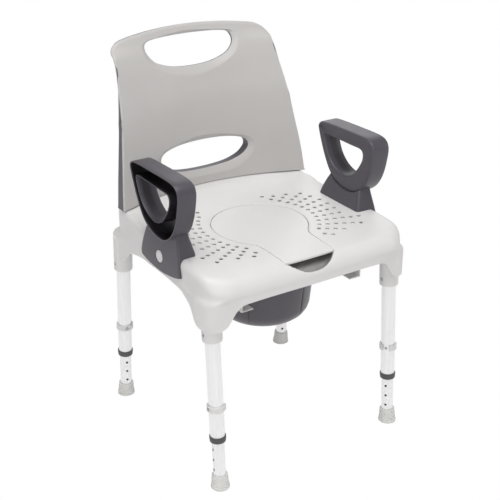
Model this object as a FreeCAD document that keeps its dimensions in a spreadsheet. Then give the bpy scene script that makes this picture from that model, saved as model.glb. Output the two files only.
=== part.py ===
import FreeCAD, Part
import math
import os
from FreeCAD import Placement, Rotation, Vector
import Sketcher

# Height-adjustable commode chair: a moulded seat on four splayed telescopic legs,
# a lift-off backrest and armrests, a lift-out seat cover and a bucket on rails.
# X runs to the right of the person seated, Y to the rear, Z up, all in millimetres.

UP = Vector(0, 0, 1)
FAR = 2000.0

doc = FreeCAD.newDocument("CommodeChair")
sheet = doc.addObject("Spreadsheet::Sheet", "Sizes")

SIZES = {
    # footprint: how far inside the seat's sides and front the leg axes meet the floor
    "leg_inset_x": 15.0,
    "leg_inset_y": 15.2,
    "leg_lean_deg": 3.776,
    "leg_middle_y": -33.9,
    # inner tube, its row of holes and its rubber foot
    "inner_tube_radius": 13.6,
    "tube_wall": 1.5,
    "inner_tube_base": 8.0,
    "inner_tube_top": 283.0,
    "hole_radius": 3.1,
    "first_hole": 45.8,
    "hole_pitch": 25.0,
    "hole_count": 10,
    "foot_radius": 20.5,
    "foot_shoulder_radius": 18.6,
    "foot_top_radius": 17.2,
    "foot_base_height": 6.0,
    "foot_shoulder_height": 12.0,
    "foot_height": 32.0,
    "foot_spare": -3.0,
    # outer tube, its bush and the clip that locks the leg
    "outer_tube_radius": 16.0,
    "outer_tube_base": 118.0,
    "outer_tube_top_drop": 52.0,
    "pin_height": 195.8,
    "collar_radius": 17.5,
    "collar_flare_radius": 18.1,
    "collar_base": 114.2,
    "collar_top": 128.0,
    "bush_top": 150.0,
    "running_clearance": 0.05,
    "clip_clearance": 0.3,
    "clip_thickness": 3.4,
    "clip_height": 14.0,
    "clip_gap_half": 8.4,
    "pin_radius": 2.8,
    "pin_head_radius": 4.6,
    "pin_head_height": 1.6,
    "pin_tip": 2.0,
    # leg sockets under the seat and the screws that hold the tubes in them;
    # a drop is a height below the seat's top
    "socket_wall": 5.5,
    "socket_bevel": 1.5,
    "socket_drop": 136.0,
    "column_radius": 28.0,
    "column_shift_x": 4.0,
    "column_shift_y": 6.0,
    "column_base_drop": 107.0,
    "column_top_drop": 48.0,
    "column_ledge": 12.0,
    "column_open": 10.0,
    "rib_half": 1.5,
    "screw_drop": 120.0,
    "screw_radius": 2.5,
    "screw_head_radius": 5.5,
    "screw_head_height": 4.0,
    "nut_radius": 4.6,
    "nut_height": 4.0,
    # seat shell
    "seat_half_width": 248.0,
    "seat_front": 238.0,
    "seat_rear_inset": 14.0,
    "seat_corner": 45.0,
    "seat_edge_round": 14.0,
    "seat_wall": 3.6,
    "seat_top": 488.0,
    "seat_dish": 13.0,
    "ledge_rise": 24.0,
    "apron_drop": 56.0,
    "shell_floor_drop": 158.0,
    # cover, opening under it and the finger scoop
    "cover_radius": 107.0,
    "cover_middle_y": -20.0,
    "cover_neck_half": 58.0,
    "cover_setback": 20.0,
    "cover_gap": 1.0,
    "cover_thickness": 5.2,
    "cover_rest": 15.5,
    "cover_rim_gap": 1.5,
    "cover_rim_wall": 3.0,
    "cover_rim_drop": 24.0,
    "seat_clearance": 0.3,
    "neck_setback": 73.0,
    "guard_drop": 54.0,
    "scoop_radius": 109.0,
    "scoop_lip": 1.5,
    "scoop_under_cover": 8.0,
    "scoop_drop": 18.0,
    "drain_radius": 3.8,
    "drain_first": 134.0,
    "drain_pitch": 18.5,
    # bucket and its rails
    "bucket_middle_y": -35.0,
    "bucket_radius": 112.0,
    "bucket_base_radius": 78.0,
    "bucket_side_radius": 103.0,
    "bucket_side_drop": 170.0,
    "bucket_base_drop": 200.0,
    "bucket_wall": 2.6,
    "flange_side_gap": 3.0,
    "flange_half_y": 124.0,
    "flange_corner": 40.0,
    "flange_thickness": 3.6,
    "rail_base_drop": 102.0,
    "rail_wall": 3.0,
    "rail_lip_x": 127.0,
    "rail_web_x": 153.0,
    "rail_ear_width": 25.0,
    "rail_top_drop": 58.0,
    "rail_front": -190.0,
    "rail_length": 300.0,
    "rail_screw_inset": 12.0,
    "rail_screw_front": -150.0,
    "rail_screw_rear": 75.0,
    "rail_screw_length": 16.0,
    "boss_radius": 8.0,
    # backrest; a rise is a height above the seat's top
    "front_shell_wall": 4.0,
    "rear_shell_wall": 3.5,
    "rear_shell_depth": 14.0,
    "rear_edge_setback": 42.0,
    "rear_edge_wall": 4.5,
    "handle_half": 116.0,
    "back_rise": 396.0,
    "handle_base_rise": 302.0,
    "handle_top_rise": 378.0,
    "lumbar_half": 116.0,
    "lumbar_base_rise": 61.0,
    "lumbar_top_rise": 130.0,
    "opening_wall": 4.0,
    "tongue_inner_x": 140.0,
    "tongue_outer_x": 180.0,
    "tongue_setback": 17.0,
    "tongue_thickness": 10.0,
    "tongue_drop": 33.0,
    "pocket_clearance": 0.5,
    "pocket_wall": 3.0,
    # armrests
    "arm_overhang": 19.0,
    "arm_width": 45.0,
    "arm_web": 7.0,
    "arm_lip": 5.0,
    "arm_tongue_inset": 19.5,
    "arm_tongue_width": 10.0,
    "arm_tongue_front": -90.0,
    "arm_tongue_length": 80.0,
    "arm_tongue_drop": 32.0,
    "cap_radius": 14.0,
    "cap_height": 2.0,
    "cap_y": -28.0,
    "cap_rise": 9.0,
    "cap_inset": 5.0,
}

for row, (alias, value) in enumerate(SIZES.items(), start=1):
    sheet.set(f"A{row}", alias)
    sheet.set(f"B{row}", str(value))
    sheet.setAlias(f"B{row}", alias)
doc.recompute()


def size(alias):
    return float(sheet.get(alias))


def at(*aliases):
    """A sum of sheet sizes: its expression and its value. A leading minus subtracts."""
    terms = []
    total = 0.0
    for alias in aliases:
        name = alias.lstrip("-")
        sign = -1.0 if alias.startswith("-") else 1.0
        terms.append(f"{'-' if sign < 0 else '+'} Sizes.{name}")
        total += sign * size(name)
    return " ".join(terms).lstrip("+ "), total


# sizes and places that follow from those of a neighbour
half_width = size("seat_half_width")
seat_front = size("seat_front")
seat_rear = seat_front - size("seat_rear_inset")
seat_top = size("seat_top")
seat_ledge = seat_top + size("ledge_rise")
shell_floor = seat_top - size("shell_floor_drop")
leg_half_x = half_width - size("leg_inset_x")
leg_half_y = seat_front - size("leg_inset_y")
column_base = seat_top - size("column_base_drop")
column_top = seat_top - size("column_top_drop")
outer_tube_top = seat_top - size("outer_tube_top_drop")
screw_height = seat_top - size("screw_drop")
rail_base = seat_top - size("rail_base_drop")
rail_top = seat_top - size("rail_top_drop")
socket_radius = size("outer_tube_radius") + size("socket_wall")
cover_front = seat_front - size("cover_setback")
opening_radius = size("cover_radius") - size("cover_rest")
opening_neck_half = size("cover_neck_half") - size("cover_rest")
opening_front = seat_front - size("neck_setback")
flange_half_x = size("rail_web_x") - size("flange_side_gap")
rail_screw_x = size("rail_web_x") + size("rail_screw_inset")
arm_outer_x = half_width + size("arm_overhang")
arm_inner_x = arm_outer_x - size("arm_width")

# ---------------------------------------------------------------- helpers


def new_body(label):
    body = doc.addObject("PartDesign::Body", label)
    body.Label = label
    return body


def origin_feature(body, role):
    return next(item for item in body.Origin.OriginFeatures if item.Role == role)


def polygon_sketch(body, role, points):
    """A closed outline on an origin plane, each corner tied to the sheet."""
    sketch = body.newObject("Sketcher::SketchObject", body.Label + "_outline")
    sketch.AttachmentSupport = [(origin_feature(body, role), "")]
    sketch.MapMode = "FlatFace"
    corners = [Vector(across[1], up[1], 0) for across, up in points]
    for start, end in zip(corners, corners[1:] + corners[:1]):
        sketch.addGeometry(Part.LineSegment(start, end), False)
    count = len(points)
    for index in range(count):
        following = (index + 1) % count
        sketch.addConstraint(Sketcher.Constraint("Coincident", index, 2, following, 1))
    for index, (across, up) in enumerate(points):
        for kind, (expression, value) in (("DistanceX", across), ("DistanceY", up)):
            if not expression:
                axis = -2 if kind == "DistanceX" else -1
                sketch.addConstraint(Sketcher.Constraint("PointOnObject", index, 1, axis))
                continue
            number = sketch.addConstraint(Sketcher.Constraint(kind, -1, 1, index, 1, value))
            sketch.setExpression(f"Constraints[{number}]", expression)
    return sketch


ON_AXIS = ("", 0.0)


def revolved(label, points):
    """A turned piece: its half section swept about the body's own Z axis."""
    body = new_body(label)
    sketch = polygon_sketch(body, "XZ_Plane", points)
    turned = body.newObject("PartDesign::Revolution", label + "_turned")
    turned.Profile = sketch
    turned.ReferenceAxis = (sketch, ["V_Axis"])
    turned.Angle = 360.0
    return body


def feature(body, kind, name, turn=None, **expressions):
    """A primitive feature of a body, its sizes tied to the sheet."""
    item = body.newObject("PartDesign::" + kind, body.Label + "_" + name)
    if turn is not None:
        item.Placement = Placement(Vector(0, 0, 0), turn)
    for key, expression in expressions.items():
        item.setExpression(key.replace("__", "."), expression)
    return item


ALONG_X = Rotation(Vector(0, 1, 0), 90)


def place(item, placement):
    item.Placement = placement


def shape_feature(label, shape):
    """A piece whose form needs lofts and curved cuts, with its own Placement."""
    item = doc.addObject("Part::Feature", label)
    item.Label = label
    item.Shape = shape
    item.Placement = middle
    return item


def prism(wire, direction):
    return Part.Face(wire).extrude(direction)


def box(low, high):
    extent = Vector(*high) - Vector(*low)
    return Part.makeBox(extent.x, extent.y, extent.z, Vector(*low))


def across_y(x, y, z, radius, length):
    return Part.makeCylinder(radius, length, Vector(x, y, z), Vector(0, 1, 0))


def rounded_wire(corners, to_space):
    """A closed wire from (across, up, radius) corners, each rounded by a tangent arc."""
    edges = []
    ends = []
    count = len(corners)
    for index, (across, up, radius) in enumerate(corners):
        point = Vector(across, up, 0)
        if radius == 0:
            ends.append((point, point, point))
            continue
        before = Vector(corners[index - 1][0], corners[index - 1][1], 0)
        after = Vector(corners[(index + 1) % count][0], corners[(index + 1) % count][1], 0)
        arm_in = (before - point).normalize()
        arm_out = (after - point).normalize()
        half = arm_in.getAngle(arm_out) / 2
        reach = radius / math.tan(half)
        bisector = (arm_in + arm_out).normalize()
        centre = point + bisector * (radius / math.sin(half))
        ends.append((point + arm_in * reach, centre - bisector * radius, point + arm_out * reach))
    for index, (start, crown, end) in enumerate(ends):
        if (end - start).Length > 0.01:
            edges.append(Part.Arc(to_space(start), to_space(crown), to_space(end)).toShape())
        following = ends[(index + 1) % count][0]
        if (following - end).Length > 0.01:
            edges.append(Part.LineSegment(to_space(end), to_space(following)).toShape())
    return Part.Wire(Part.__sortEdges__(edges))


def in_plan(height):
    return lambda point: Vector(point.x, point.y, height)


def in_side(across):
    return lambda point: Vector(across, point.x, point.y)


def in_front(depth):
    return lambda point: Vector(point.x, depth, point.y)


middle = Placement(Vector(0, size("leg_middle_y"), 0), Rotation())

# ---------------------------------------------------------------- legs

# name: side, end, the turn of the row of holes and pin about the leg, in degrees
LEGS = {
    "front_left": (-1, -1, 180.0),
    "front_right": (1, -1, 33.0),
    "rear_left": (-1, 1, 258.0),
    "rear_right": (1, 1, 246.0),
}


def leg_placement(side, end, turn=0.0):
    foot = Vector(side * leg_half_x, end * leg_half_y, 0)
    lean = Rotation(Vector(1, 0, 0), end * size("leg_lean_deg"))
    spin = Rotation(UP, turn)
    return middle.multiply(Placement(foot, lean.multiply(spin)))


def inner_tube(leg):
    body = new_body("inner_tube_" + leg)
    feature(body, "AdditiveCylinder", "tube", Radius="Sizes.inner_tube_radius",
            Height="Sizes.inner_tube_top - Sizes.inner_tube_base",
            Placement__Base__z="Sizes.inner_tube_base")
    feature(body, "SubtractiveCylinder", "bore", Radius="Sizes.inner_tube_radius - Sizes.tube_wall",
            Height="Sizes.inner_tube_top", Placement__Base__z="Sizes.inner_tube_base")
    hole = feature(body, "SubtractiveCylinder", "hole", turn=ALONG_X, Radius="Sizes.hole_radius",
                   Height="4 * Sizes.inner_tube_radius", Placement__Base__z="Sizes.first_hole",
                   Placement__Base__x="-2 * Sizes.inner_tube_radius")
    row_of_holes = body.newObject("PartDesign::LinearPattern", body.Label + "_holes")
    row_of_holes.Originals = [hole]
    row_of_holes.Direction = (origin_feature(body, "Z_Axis"), [""])
    row_of_holes.setExpression("Length", "Sizes.hole_pitch * (Sizes.hole_count - 1)")
    row_of_holes.setExpression("Occurrences", "Sizes.hole_count")
    body.Tip = row_of_holes
    return body


def outer_tube(leg, turn):
    body = new_body("outer_tube_" + leg)
    feature(body, "AdditiveCylinder", "tube", Radius="Sizes.outer_tube_radius",
            Height="Sizes.seat_top - Sizes.outer_tube_top_drop - Sizes.outer_tube_base",
            Placement__Base__z="Sizes.outer_tube_base")
    feature(body, "SubtractiveCylinder", "bore", Radius="Sizes.outer_tube_radius - Sizes.tube_wall",
            Height="Sizes.seat_top", Placement__Base__z="Sizes.outer_tube_base")
    feature(body, "SubtractiveCylinder", "pin_hole", turn=ALONG_X, Radius="Sizes.hole_radius",
            Height="4 * Sizes.outer_tube_radius", Placement__Base__z="Sizes.pin_height",
            Placement__Base__x="-2 * Sizes.outer_tube_radius")
    screw_turn = Rotation(UP, -turn).multiply(ALONG_X)
    start = screw_turn.multVec(UP) * (-2 * size("outer_tube_radius"))
    screw_hole = feature(body, "SubtractiveCylinder", "screw_hole", turn=screw_turn,
                         Radius="Sizes.screw_radius", Height="4 * Sizes.outer_tube_radius")
    screw_hole.Placement = Placement(start + UP * screw_height, screw_turn)
    body.Tip = screw_hole
    return body


def collar(leg):
    """The bush pressed into the outer tube's lower end, which the inner tube slides in."""
    slide = at("inner_tube_radius", "running_clearance")
    tube_inside = at("outer_tube_radius", "-tube_wall")
    return revolved("collar_" + leg, [
        (slide, at("collar_base")),
        (at("collar_radius"), at("collar_base")),
        (at("collar_flare_radius"), at("collar_top")),
        (at("outer_tube_radius"), at("collar_top")),
        (at("outer_tube_radius"), at("outer_tube_base")),
        (tube_inside, at("outer_tube_base")),
        (tube_inside, at("bush_top")),
        (slide, at("bush_top")),
    ])


def foot(leg, placement):
    """A rubber tip turned about the leaning leg, then cut level with the floor."""
    tip = revolved("foot_tip_" + leg, [
        (ON_AXIS, at("foot_spare")),
        (at("foot_radius"), at("foot_spare")),
        (at("foot_radius"), at("foot_base_height")),
        (at("foot_shoulder_radius"), at("foot_shoulder_height")),
        (at("foot_top_radius"), at("foot_height")),
        (at("inner_tube_radius"), at("foot_height")),
        (at("inner_tube_radius"), at("inner_tube_base")),
        (ON_AXIS, at("inner_tube_base")),
    ])
    tip.Placement = placement
    ground = doc.addObject("Part::Box", "ground_" + leg)
    ground.Length = ground.Width = ground.Height = FAR
    ground.Placement = Placement(Vector(-FAR / 2, -FAR / 2, -FAR), Rotation())
    level = doc.addObject("Part::Cut", "foot_" + leg)
    level.Base = tip
    level.Tool = ground
    return level


def clip_ring(leg):
    """The plastic ring that snaps round the outer tube and carries the pin."""
    body = new_body("clip_ring_" + leg)
    half = "Sizes.clip_height / 2"
    outside = "Sizes.outer_tube_radius + Sizes.clip_clearance + Sizes.clip_thickness"
    feature(body, "AdditiveCylinder", "ring", Radius=outside, Height="Sizes.clip_height",
            Placement__Base__z=f"Sizes.pin_height - {half}")
    feature(body, "SubtractiveCylinder", "inside", Height="2 * Sizes.clip_height",
            Radius="Sizes.outer_tube_radius + Sizes.clip_clearance",
            Placement__Base__z="Sizes.pin_height - Sizes.clip_height")
    feature(body, "SubtractiveBox", "gap", Length="2 * Sizes.outer_tube_radius",
            Width="2 * Sizes.clip_gap_half", Height="2 * Sizes.clip_height",
            Placement__Base__x="-2 * Sizes.outer_tube_radius",
            Placement__Base__y="-Sizes.clip_gap_half",
            Placement__Base__z="Sizes.pin_height - Sizes.clip_height")
    eye = feature(body, "SubtractiveCylinder", "eye", turn=ALONG_X, Radius="Sizes.pin_radius",
                  Height="2 * Sizes.outer_tube_radius", Placement__Base__z="Sizes.pin_height")
    body.Tip = eye
    return body


def clip_pin(leg):
    """The steel pin: it enters on the ring's closed side and shows through the gap."""
    body = new_body("clip_pin_" + leg)
    outside = "Sizes.outer_tube_radius + Sizes.clip_clearance + Sizes.clip_thickness"
    feature(body, "AdditiveCylinder", "shank", turn=ALONG_X, Radius="Sizes.pin_radius",
            Height=f"{outside} + Sizes.outer_tube_radius + Sizes.pin_tip",
            Placement__Base__x="-Sizes.outer_tube_radius - Sizes.pin_tip",
            Placement__Base__z="Sizes.pin_height")
    head = feature(body, "AdditiveCylinder", "head", turn=ALONG_X, Radius="Sizes.pin_head_radius",
                   Height="Sizes.pin_head_height", Placement__Base__x=outside,
                   Placement__Base__z="Sizes.pin_height")
    body.Tip = head
    return body


for leg, (side, end, turn) in LEGS.items():
    placement = leg_placement(side, end, turn)
    for piece in (inner_tube(leg), outer_tube(leg, turn), collar(leg), clip_ring(leg), clip_pin(leg)):
        place(piece, placement)
    foot(leg, placement)


def on_leg(shape, side, end):
    """A shape made about the leg's own axis, moved to that leg beside the leg middle."""
    moved = shape.copy()
    moved.Placement = middle.inverse().multiply(leg_placement(side, end))
    return moved


def leg_ends():
    return [(side, end) for side, end, turn in LEGS.values()]


def socket_screw_shape(side):
    """Head let into the socket's outer side, shank right through the tube."""
    head = size("screw_head_height")
    out = Vector(side, 0, 0)
    height = UP * screw_height
    run = 2 * socket_radius - head
    shank = Part.makeCylinder(size("screw_radius"), run, height - out * socket_radius, out)
    top = Part.makeCylinder(size("screw_head_radius"), head, height + out * (socket_radius - head), out)
    return shank.fuse(top).removeSplitter()


def socket_nut_shape(side):
    """A hexagon nut let into the socket's inner side, round the screw."""
    out = Vector(side, 0, 0)
    base = Vector(-side * socket_radius, 0, screw_height)
    corners = [base + Vector(0, math.cos(math.radians(60 * k)), math.sin(math.radians(60 * k)))
               * size("nut_radius") for k in range(7)]
    block = prism(Part.makePolygon(corners), out * size("nut_height"))
    return block.cut(Part.makeCylinder(size("screw_radius"), size("nut_height"), base, out))


shape_feature("socket_screws", Part.makeCompound(
    [on_leg(socket_screw_shape(side), side, end) for side, end in leg_ends()]))
shape_feature("socket_nuts", Part.makeCompound(
    [on_leg(socket_nut_shape(side), side, end) for side, end in leg_ends()]))

# ---------------------------------------------------------------- seat

# how the seat's top runs from front to rear: (y, drop of the middle, share of the dish)
def seat_run():
    front = -seat_front
    dish = size("seat_dish")
    return [
        (front, seat_top - 34, seat_top - 31),
        (front + 3, seat_top - 20, seat_top - 15),
        (front + 11, seat_top - 10, seat_top - 3),
        (front + 26, seat_top - 5, seat_top + 4),
        (front + 50, seat_top - 2.5, seat_top + 8),
        (front + 100, seat_top - 1, seat_top + dish - 1),
        (size("cover_middle_y"), seat_top, seat_top + dish),
        (seat_rear - 144, seat_top + 2, seat_top + dish + 1),
        (seat_rear - 94, seat_top + 6, seat_ledge - 5),
        (seat_rear - 64, seat_ledge - 9, seat_ledge - 1),
        (seat_rear - 44, seat_ledge - 2, seat_ledge),
        (seat_rear - 22, seat_ledge - 0.4, seat_ledge),
        (seat_rear + 20, seat_ledge - 0.4, seat_ledge),
    ]


def seat_section(y, low, high, inset):
    """One cross section of the seat: flat sides, rounded shoulders and a dished top."""
    half = half_width - inset
    rounding = size("seat_edge_round") - inset
    floor = shell_floor
    side = high - inset
    bend = rounding * (1 - math.sqrt(0.5))
    corners = [Vector(-half, y, floor), Vector(-half, y, side - rounding),
               Vector(-half + rounding, y, side), Vector(half - rounding, y, side),
               Vector(half, y, side - rounding), Vector(half, y, floor)]
    left = Vector(-half + bend, y, side - bend)
    right = Vector(half - bend, y, side - bend)
    return Part.Wire([
        Part.LineSegment(corners[0], corners[1]).toShape(),
        Part.Arc(corners[1], left, corners[2]).toShape(),
        Part.Arc(corners[2], Vector(0, y, low - inset), corners[3]).toShape(),
        Part.Arc(corners[3], right, corners[4]).toShape(),
        Part.LineSegment(corners[4], corners[5]).toShape(),
        Part.LineSegment(corners[5], corners[0]).toShape(),
    ])


def corner_waste(inset):
    """What lies outside the seat's rounded plan: four corners and all behind the rear."""
    radius = size("seat_corner") - inset
    rear = seat_rear - inset
    waste = [box((-FAR, rear, 0), (FAR, FAR, FAR))]
    for side in (-1, 1):
        for edge, end in ((-seat_front + inset, -1), (rear, 1)):
            middle_of_arc = Vector(side * (half_width - inset - radius), edge - end * radius, 0)
            across = sorted((middle_of_arc.x, middle_of_arc.x + side * 2 * radius))
            along = sorted((middle_of_arc.y, middle_of_arc.y + end * 2 * radius))
            corner = box((across[0], along[0], 0), (across[1], along[1], FAR))
            waste.append(corner.cut(Part.makeCylinder(radius, FAR, middle_of_arc)))
    return waste


def seat_envelope(inset):
    """The seat's outside form, or a form that much inside it."""
    sections = [seat_section(y + (inset if y < 0 else 0), low, high, inset) for y, low, high in seat_run()]
    return Part.makeLoft(sections, True, False).cut(corner_waste(inset))


def cover_outline(radius, neck_half, front, height):
    """A disc with a neck that runs forward to a straight edge."""
    middle_y = size("cover_middle_y")
    meet = middle_y - math.sqrt(radius ** 2 - neck_half ** 2)
    left = Vector(-neck_half, meet, height)
    right = Vector(neck_half, meet, height)
    front_left = Vector(-neck_half, -front, height)
    front_right = Vector(neck_half, -front, height)
    return Part.Wire([
        Part.Arc(right, Vector(0, middle_y + radius, height), left).toShape(),
        Part.LineSegment(left, front_left).toShape(),
        Part.LineSegment(front_left, front_right).toShape(),
        Part.LineSegment(front_right, right).toShape(),
    ])


def cover_prism(grow):
    wire = cover_outline(size("cover_radius") + grow, size("cover_neck_half") + grow,
                         cover_front + grow, shell_floor)
    return prism(wire, UP * FAR)


def opening_prism(grow, base):
    wire = cover_outline(opening_radius + grow, opening_neck_half + grow, opening_front + grow, base)
    return prism(wire, UP * FAR)


def side_arch():
    """The space left open under each side between the legs, seen from the side."""
    edge = seat_top - size("apron_drop")
    front = -leg_half_y + 37
    rear = leg_half_y - 56
    wire = rounded_wire([
        (front, shell_floor, 0), (rear, shell_floor, 0), (rear, column_base + 3, 6),
        (rear - 36, edge - 9, 30), (rear - 85, edge + 2, 80), (-10, edge + 8, 300),
        (front + 80, edge + 2, 80), (front + 24, edge - 10, 30), (front, column_base + 3, 6),
    ], in_side(-FAR / 2))
    return prism(wire, Vector(FAR, 0, 0))


def front_arch():
    """The space left open under the front and rear aprons, seen from the front."""
    edge = seat_top - size("apron_drop")
    half = leg_half_x - 20
    wire = rounded_wire([
        (-half, shell_floor, 0), (half, shell_floor, 0), (half, column_base + 6, 6),
        (half - 26, edge, 16), (-half + 26, edge, 16), (-half, column_base + 6, 6),
    ], in_front(-FAR / 2))
    return prism(wire, Vector(0, FAR, 0))


def leg_column(side, end):
    """A corner's outer skirt with its sloping ledge, open towards the middle of the seat."""
    height = column_top - column_base
    ledge = size("column_ledge")
    radius = size("column_radius")
    inside = radius - size("seat_wall")
    axis = Vector(-side * size("column_shift_x"), end * size("column_shift_y"), 0)
    outer = Part.makeCylinder(radius, height, axis + UP * column_base)
    slope = Part.makeCone(radius, radius - ledge, ledge, axis + UP * column_top)
    hollow = [Part.makeCylinder(inside, height, axis + UP * column_base),
              Part.makeCone(inside, inside - ledge, ledge, axis + UP * column_top)]
    across = sorted((-side * size("column_open"), -side * FAR))
    along = sorted((-end * size("column_open"), -end * FAR))
    hollow.append(box((across[0], along[0], 0), (across[1], along[1], FAR)))
    return on_leg(outer.fuse(slope).cut(hollow), side, end)


def leg_socket(side, end, outside):
    """The cup that a leg's tube sits in, and two ribs from it to the seat's walls."""
    base = seat_top - size("socket_drop")
    bevel = size("socket_bevel")
    top = outer_tube_top + size("seat_wall")
    cup = Part.makeCylinder(socket_radius, top - base - bevel, UP * (base + bevel))
    cup = cup.fuse(Part.makeCone(socket_radius - bevel, socket_radius, bevel, UP * base))
    half = size("rib_half")
    reach = 2 * size("column_radius")
    across = sorted((0, side * reach))
    along = sorted((0, end * reach))
    ribs = box((across[0], -half, column_base), (across[1], half, FAR))
    ribs = ribs.fuse(box((-half, along[0], column_base), (half, along[1], FAR)))
    return [on_leg(cup, side, end), on_leg(ribs, side, end).common(outside)]


def leg_hollow(side, end):
    """Everything taken out of a corner: tube, screw and nut."""
    tube = Part.makeCylinder(size("outer_tube_radius"), outer_tube_top)
    cuts = tube.fuse([socket_screw_shape(side), socket_nut_shape(side)])
    return on_leg(cuts, side, end)


def drain_holes():
    """Rows of drain holes that fan out from the opening on both sides."""
    middle_y = size("cover_middle_y")
    holes = []
    rows = [(68, 1), (59, 2), (49, 3), (39, 4), (29.5, 4), (19, 4), (9, 4), (-1, 4), (-11, 4),
            (-21, 4), (-31.5, 6), (-42, 6), (-53, 4), (-64, 2)]
    for angle, count in rows:
        for step in range(count):
            reach = size("drain_first") + size("drain_pitch") * step
            x = reach * math.cos(math.radians(angle))
            y = middle_y + reach * math.sin(math.radians(angle))
            for side in (-1, 1):
                place_here = Vector(side * x, y, seat_top - 30)
                holes.append(Part.makeCylinder(size("drain_radius"), 60, place_here))
    return holes


def scoop(grow):
    """The hollow in the front edge that lets a finger under the cover, or its wall."""
    radius = size("scoop_radius")
    floor = seat_top - size("scoop_drop") - grow
    centre = Vector(0, radius - seat_front + size("scoop_lip"), floor)
    rear = size("scoop_under_cover") + grow - cover_front
    return Part.makeCylinder(radius + grow, FAR, centre).common(box((-FAR, -FAR, 0), (FAR, rear, FAR)))


def pocket(low, high):
    """A well for a tongue: what to add round it and what to cut out of it."""
    wall = size("pocket_wall")
    gap = size("pocket_clearance")
    spread = Vector(wall + gap, wall + gap, 0)
    well = box(Vector(*low) - spread - UP * (wall + gap), (high[0] + spread.x, high[1] + spread.y, FAR))
    cut = box(Vector(*low) - Vector(gap, gap, gap), (high[0] + gap, high[1] + gap, FAR))
    return well, cut


def back_tongue_box(side):
    inner = size("tongue_inner_x")
    outer = size("tongue_outer_x")
    xs = sorted((side * inner, side * outer))
    rear = seat_rear - size("tongue_setback")
    return ((xs[0], rear - size("tongue_thickness"), seat_top - size("tongue_drop")),
            (xs[1], rear, seat_ledge + 20))


def arm_tongue_box(side):
    inner = half_width - size("arm_tongue_inset")
    xs = sorted((side * inner, side * (inner + size("arm_tongue_width"))))
    front = size("arm_tongue_front")
    return ((xs[0], front, seat_top - size("arm_tongue_drop")),
            (xs[1], front + size("arm_tongue_length"), seat_top + 25))


def rail_screw_places():
    return [(side, Vector(side * rail_screw_x, y, 0))
            for side in (-1, 1) for y in (size("rail_screw_front"), size("rail_screw_rear"))]


def seat_shell(outside):
    wall = size("seat_wall")
    thickness = size("cover_thickness") + size("seat_clearance")
    shell = outside.cut(seat_envelope(wall))
    shell = shell.cut([side_arch(), front_arch(), box((-FAR, -FAR, 0), (FAR, FAR, column_base))])
    additions = [
        cover_prism(size("cover_gap") + wall).common(outside.cut(seat_envelope(thickness + wall))),
        opening_prism(wall, seat_top - size("guard_drop")).common(outside),
        scoop(wall).common(outside),
    ]
    recess = cover_prism(size("cover_gap")).cut(seat_envelope(thickness))
    cuts = [opening_prism(0, shell_floor), scoop(0), recess]
    for side in (-1, 1):
        for low, high in (back_tongue_box(side), arm_tongue_box(side)):
            well, cut = pocket(low, high)
            additions.append(well.common(outside))
            cuts.append(cut)
    for side, spot in rail_screw_places():
        boss = Part.makeCylinder(size("boss_radius"), FAR, spot + UP * rail_top)
        additions.append(boss.common(outside))
        cuts.append(Part.makeCylinder(size("screw_radius"), size("rail_screw_length"), spot + UP * rail_top))
    for side, end in leg_ends():
        additions.append(leg_column(side, end))
        additions += leg_socket(side, end, outside)
        cuts.append(leg_hollow(side, end))
    return shell.fuse(additions).cut(cuts + drain_holes())


def seat_cover(outside):
    """The lift-out cover, flush with the seat, with a rim that centres it in the opening."""
    plate = cover_prism(0).common(outside.cut(seat_envelope(size("cover_thickness"))))
    rim_base = seat_top - size("cover_rim_drop")
    rim_gap = size("cover_rim_gap")
    inside = opening_prism(-rim_gap - size("cover_rim_wall"), shell_floor)
    rim = opening_prism(-rim_gap, rim_base).cut(inside)
    return plate.fuse(rim.common(seat_envelope(size("cover_thickness") - 1)))


seat_outside = seat_envelope(0)
shape_feature("seat_shell", seat_shell(seat_outside))
shape_feature("seat_cover", seat_cover(seat_outside))

# ---------------------------------------------------------------- rails and bucket


def rail(side):
    name = "rail_left" if side < 0 else "rail_right"
    body = new_body(name)
    lip, web, ear = at("rail_lip_x"), at("rail_web_x"), at("rail_web_x", "rail_ear_width")
    web_outer = at("rail_web_x", "rail_wall")
    base, top = at("seat_top", "-rail_base_drop"), at("seat_top", "-rail_top_drop")
    above_base = at("seat_top", "-rail_base_drop", "rail_wall")
    below_top = at("seat_top", "-rail_top_drop", "-rail_wall")
    outline = [(lip, base), (web_outer, base), (web_outer, below_top), (ear, below_top),
               (ear, top), (web, top), (web, above_base), (lip, above_base)]
    if side < 0:
        outline = [((f"-({across[0]})", -across[1]), up) for across, up in outline]
    sketch = polygon_sketch(body, "XZ_Plane", outline)
    run = body.newObject("PartDesign::Pad", name + "_run")
    run.Profile = sketch
    run.setExpression("Length", "Sizes.rail_length")
    run.Reversed = True
    for place_name, alias in (("front", "rail_screw_front"), ("rear", "rail_screw_rear")):
        hole = feature(body, "SubtractiveCylinder", place_name + "_hole", Radius="Sizes.screw_radius",
                       Height="20", Placement__Base__y=f"Sizes.{alias} - Sizes.rail_front",
                       Placement__Base__z="Sizes.seat_top - Sizes.rail_top_drop - 10")
        hole.setExpression("Placement.Base.x", f"{side} * (Sizes.rail_web_x + Sizes.rail_screw_inset)")
        body.Tip = hole
    body.Placement = Placement(Vector(0, size("leg_middle_y") + size("rail_front"), 0), Rotation())
    return body


def rail_screws():
    """Screws up through the rails' ears into the seat's bosses."""
    underside = rail_top - size("rail_wall")
    length = size("rail_screw_length")
    screws = []
    for side, spot in rail_screw_places():
        shank = Part.makeCylinder(size("screw_radius"), length, spot + UP * underside)
        head = Part.makeCylinder(size("screw_head_radius"), 3, spot + UP * (underside - 3))
        screws.append(shank.fuse(head).removeSplitter())
    return Part.makeCompound(screws)


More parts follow.
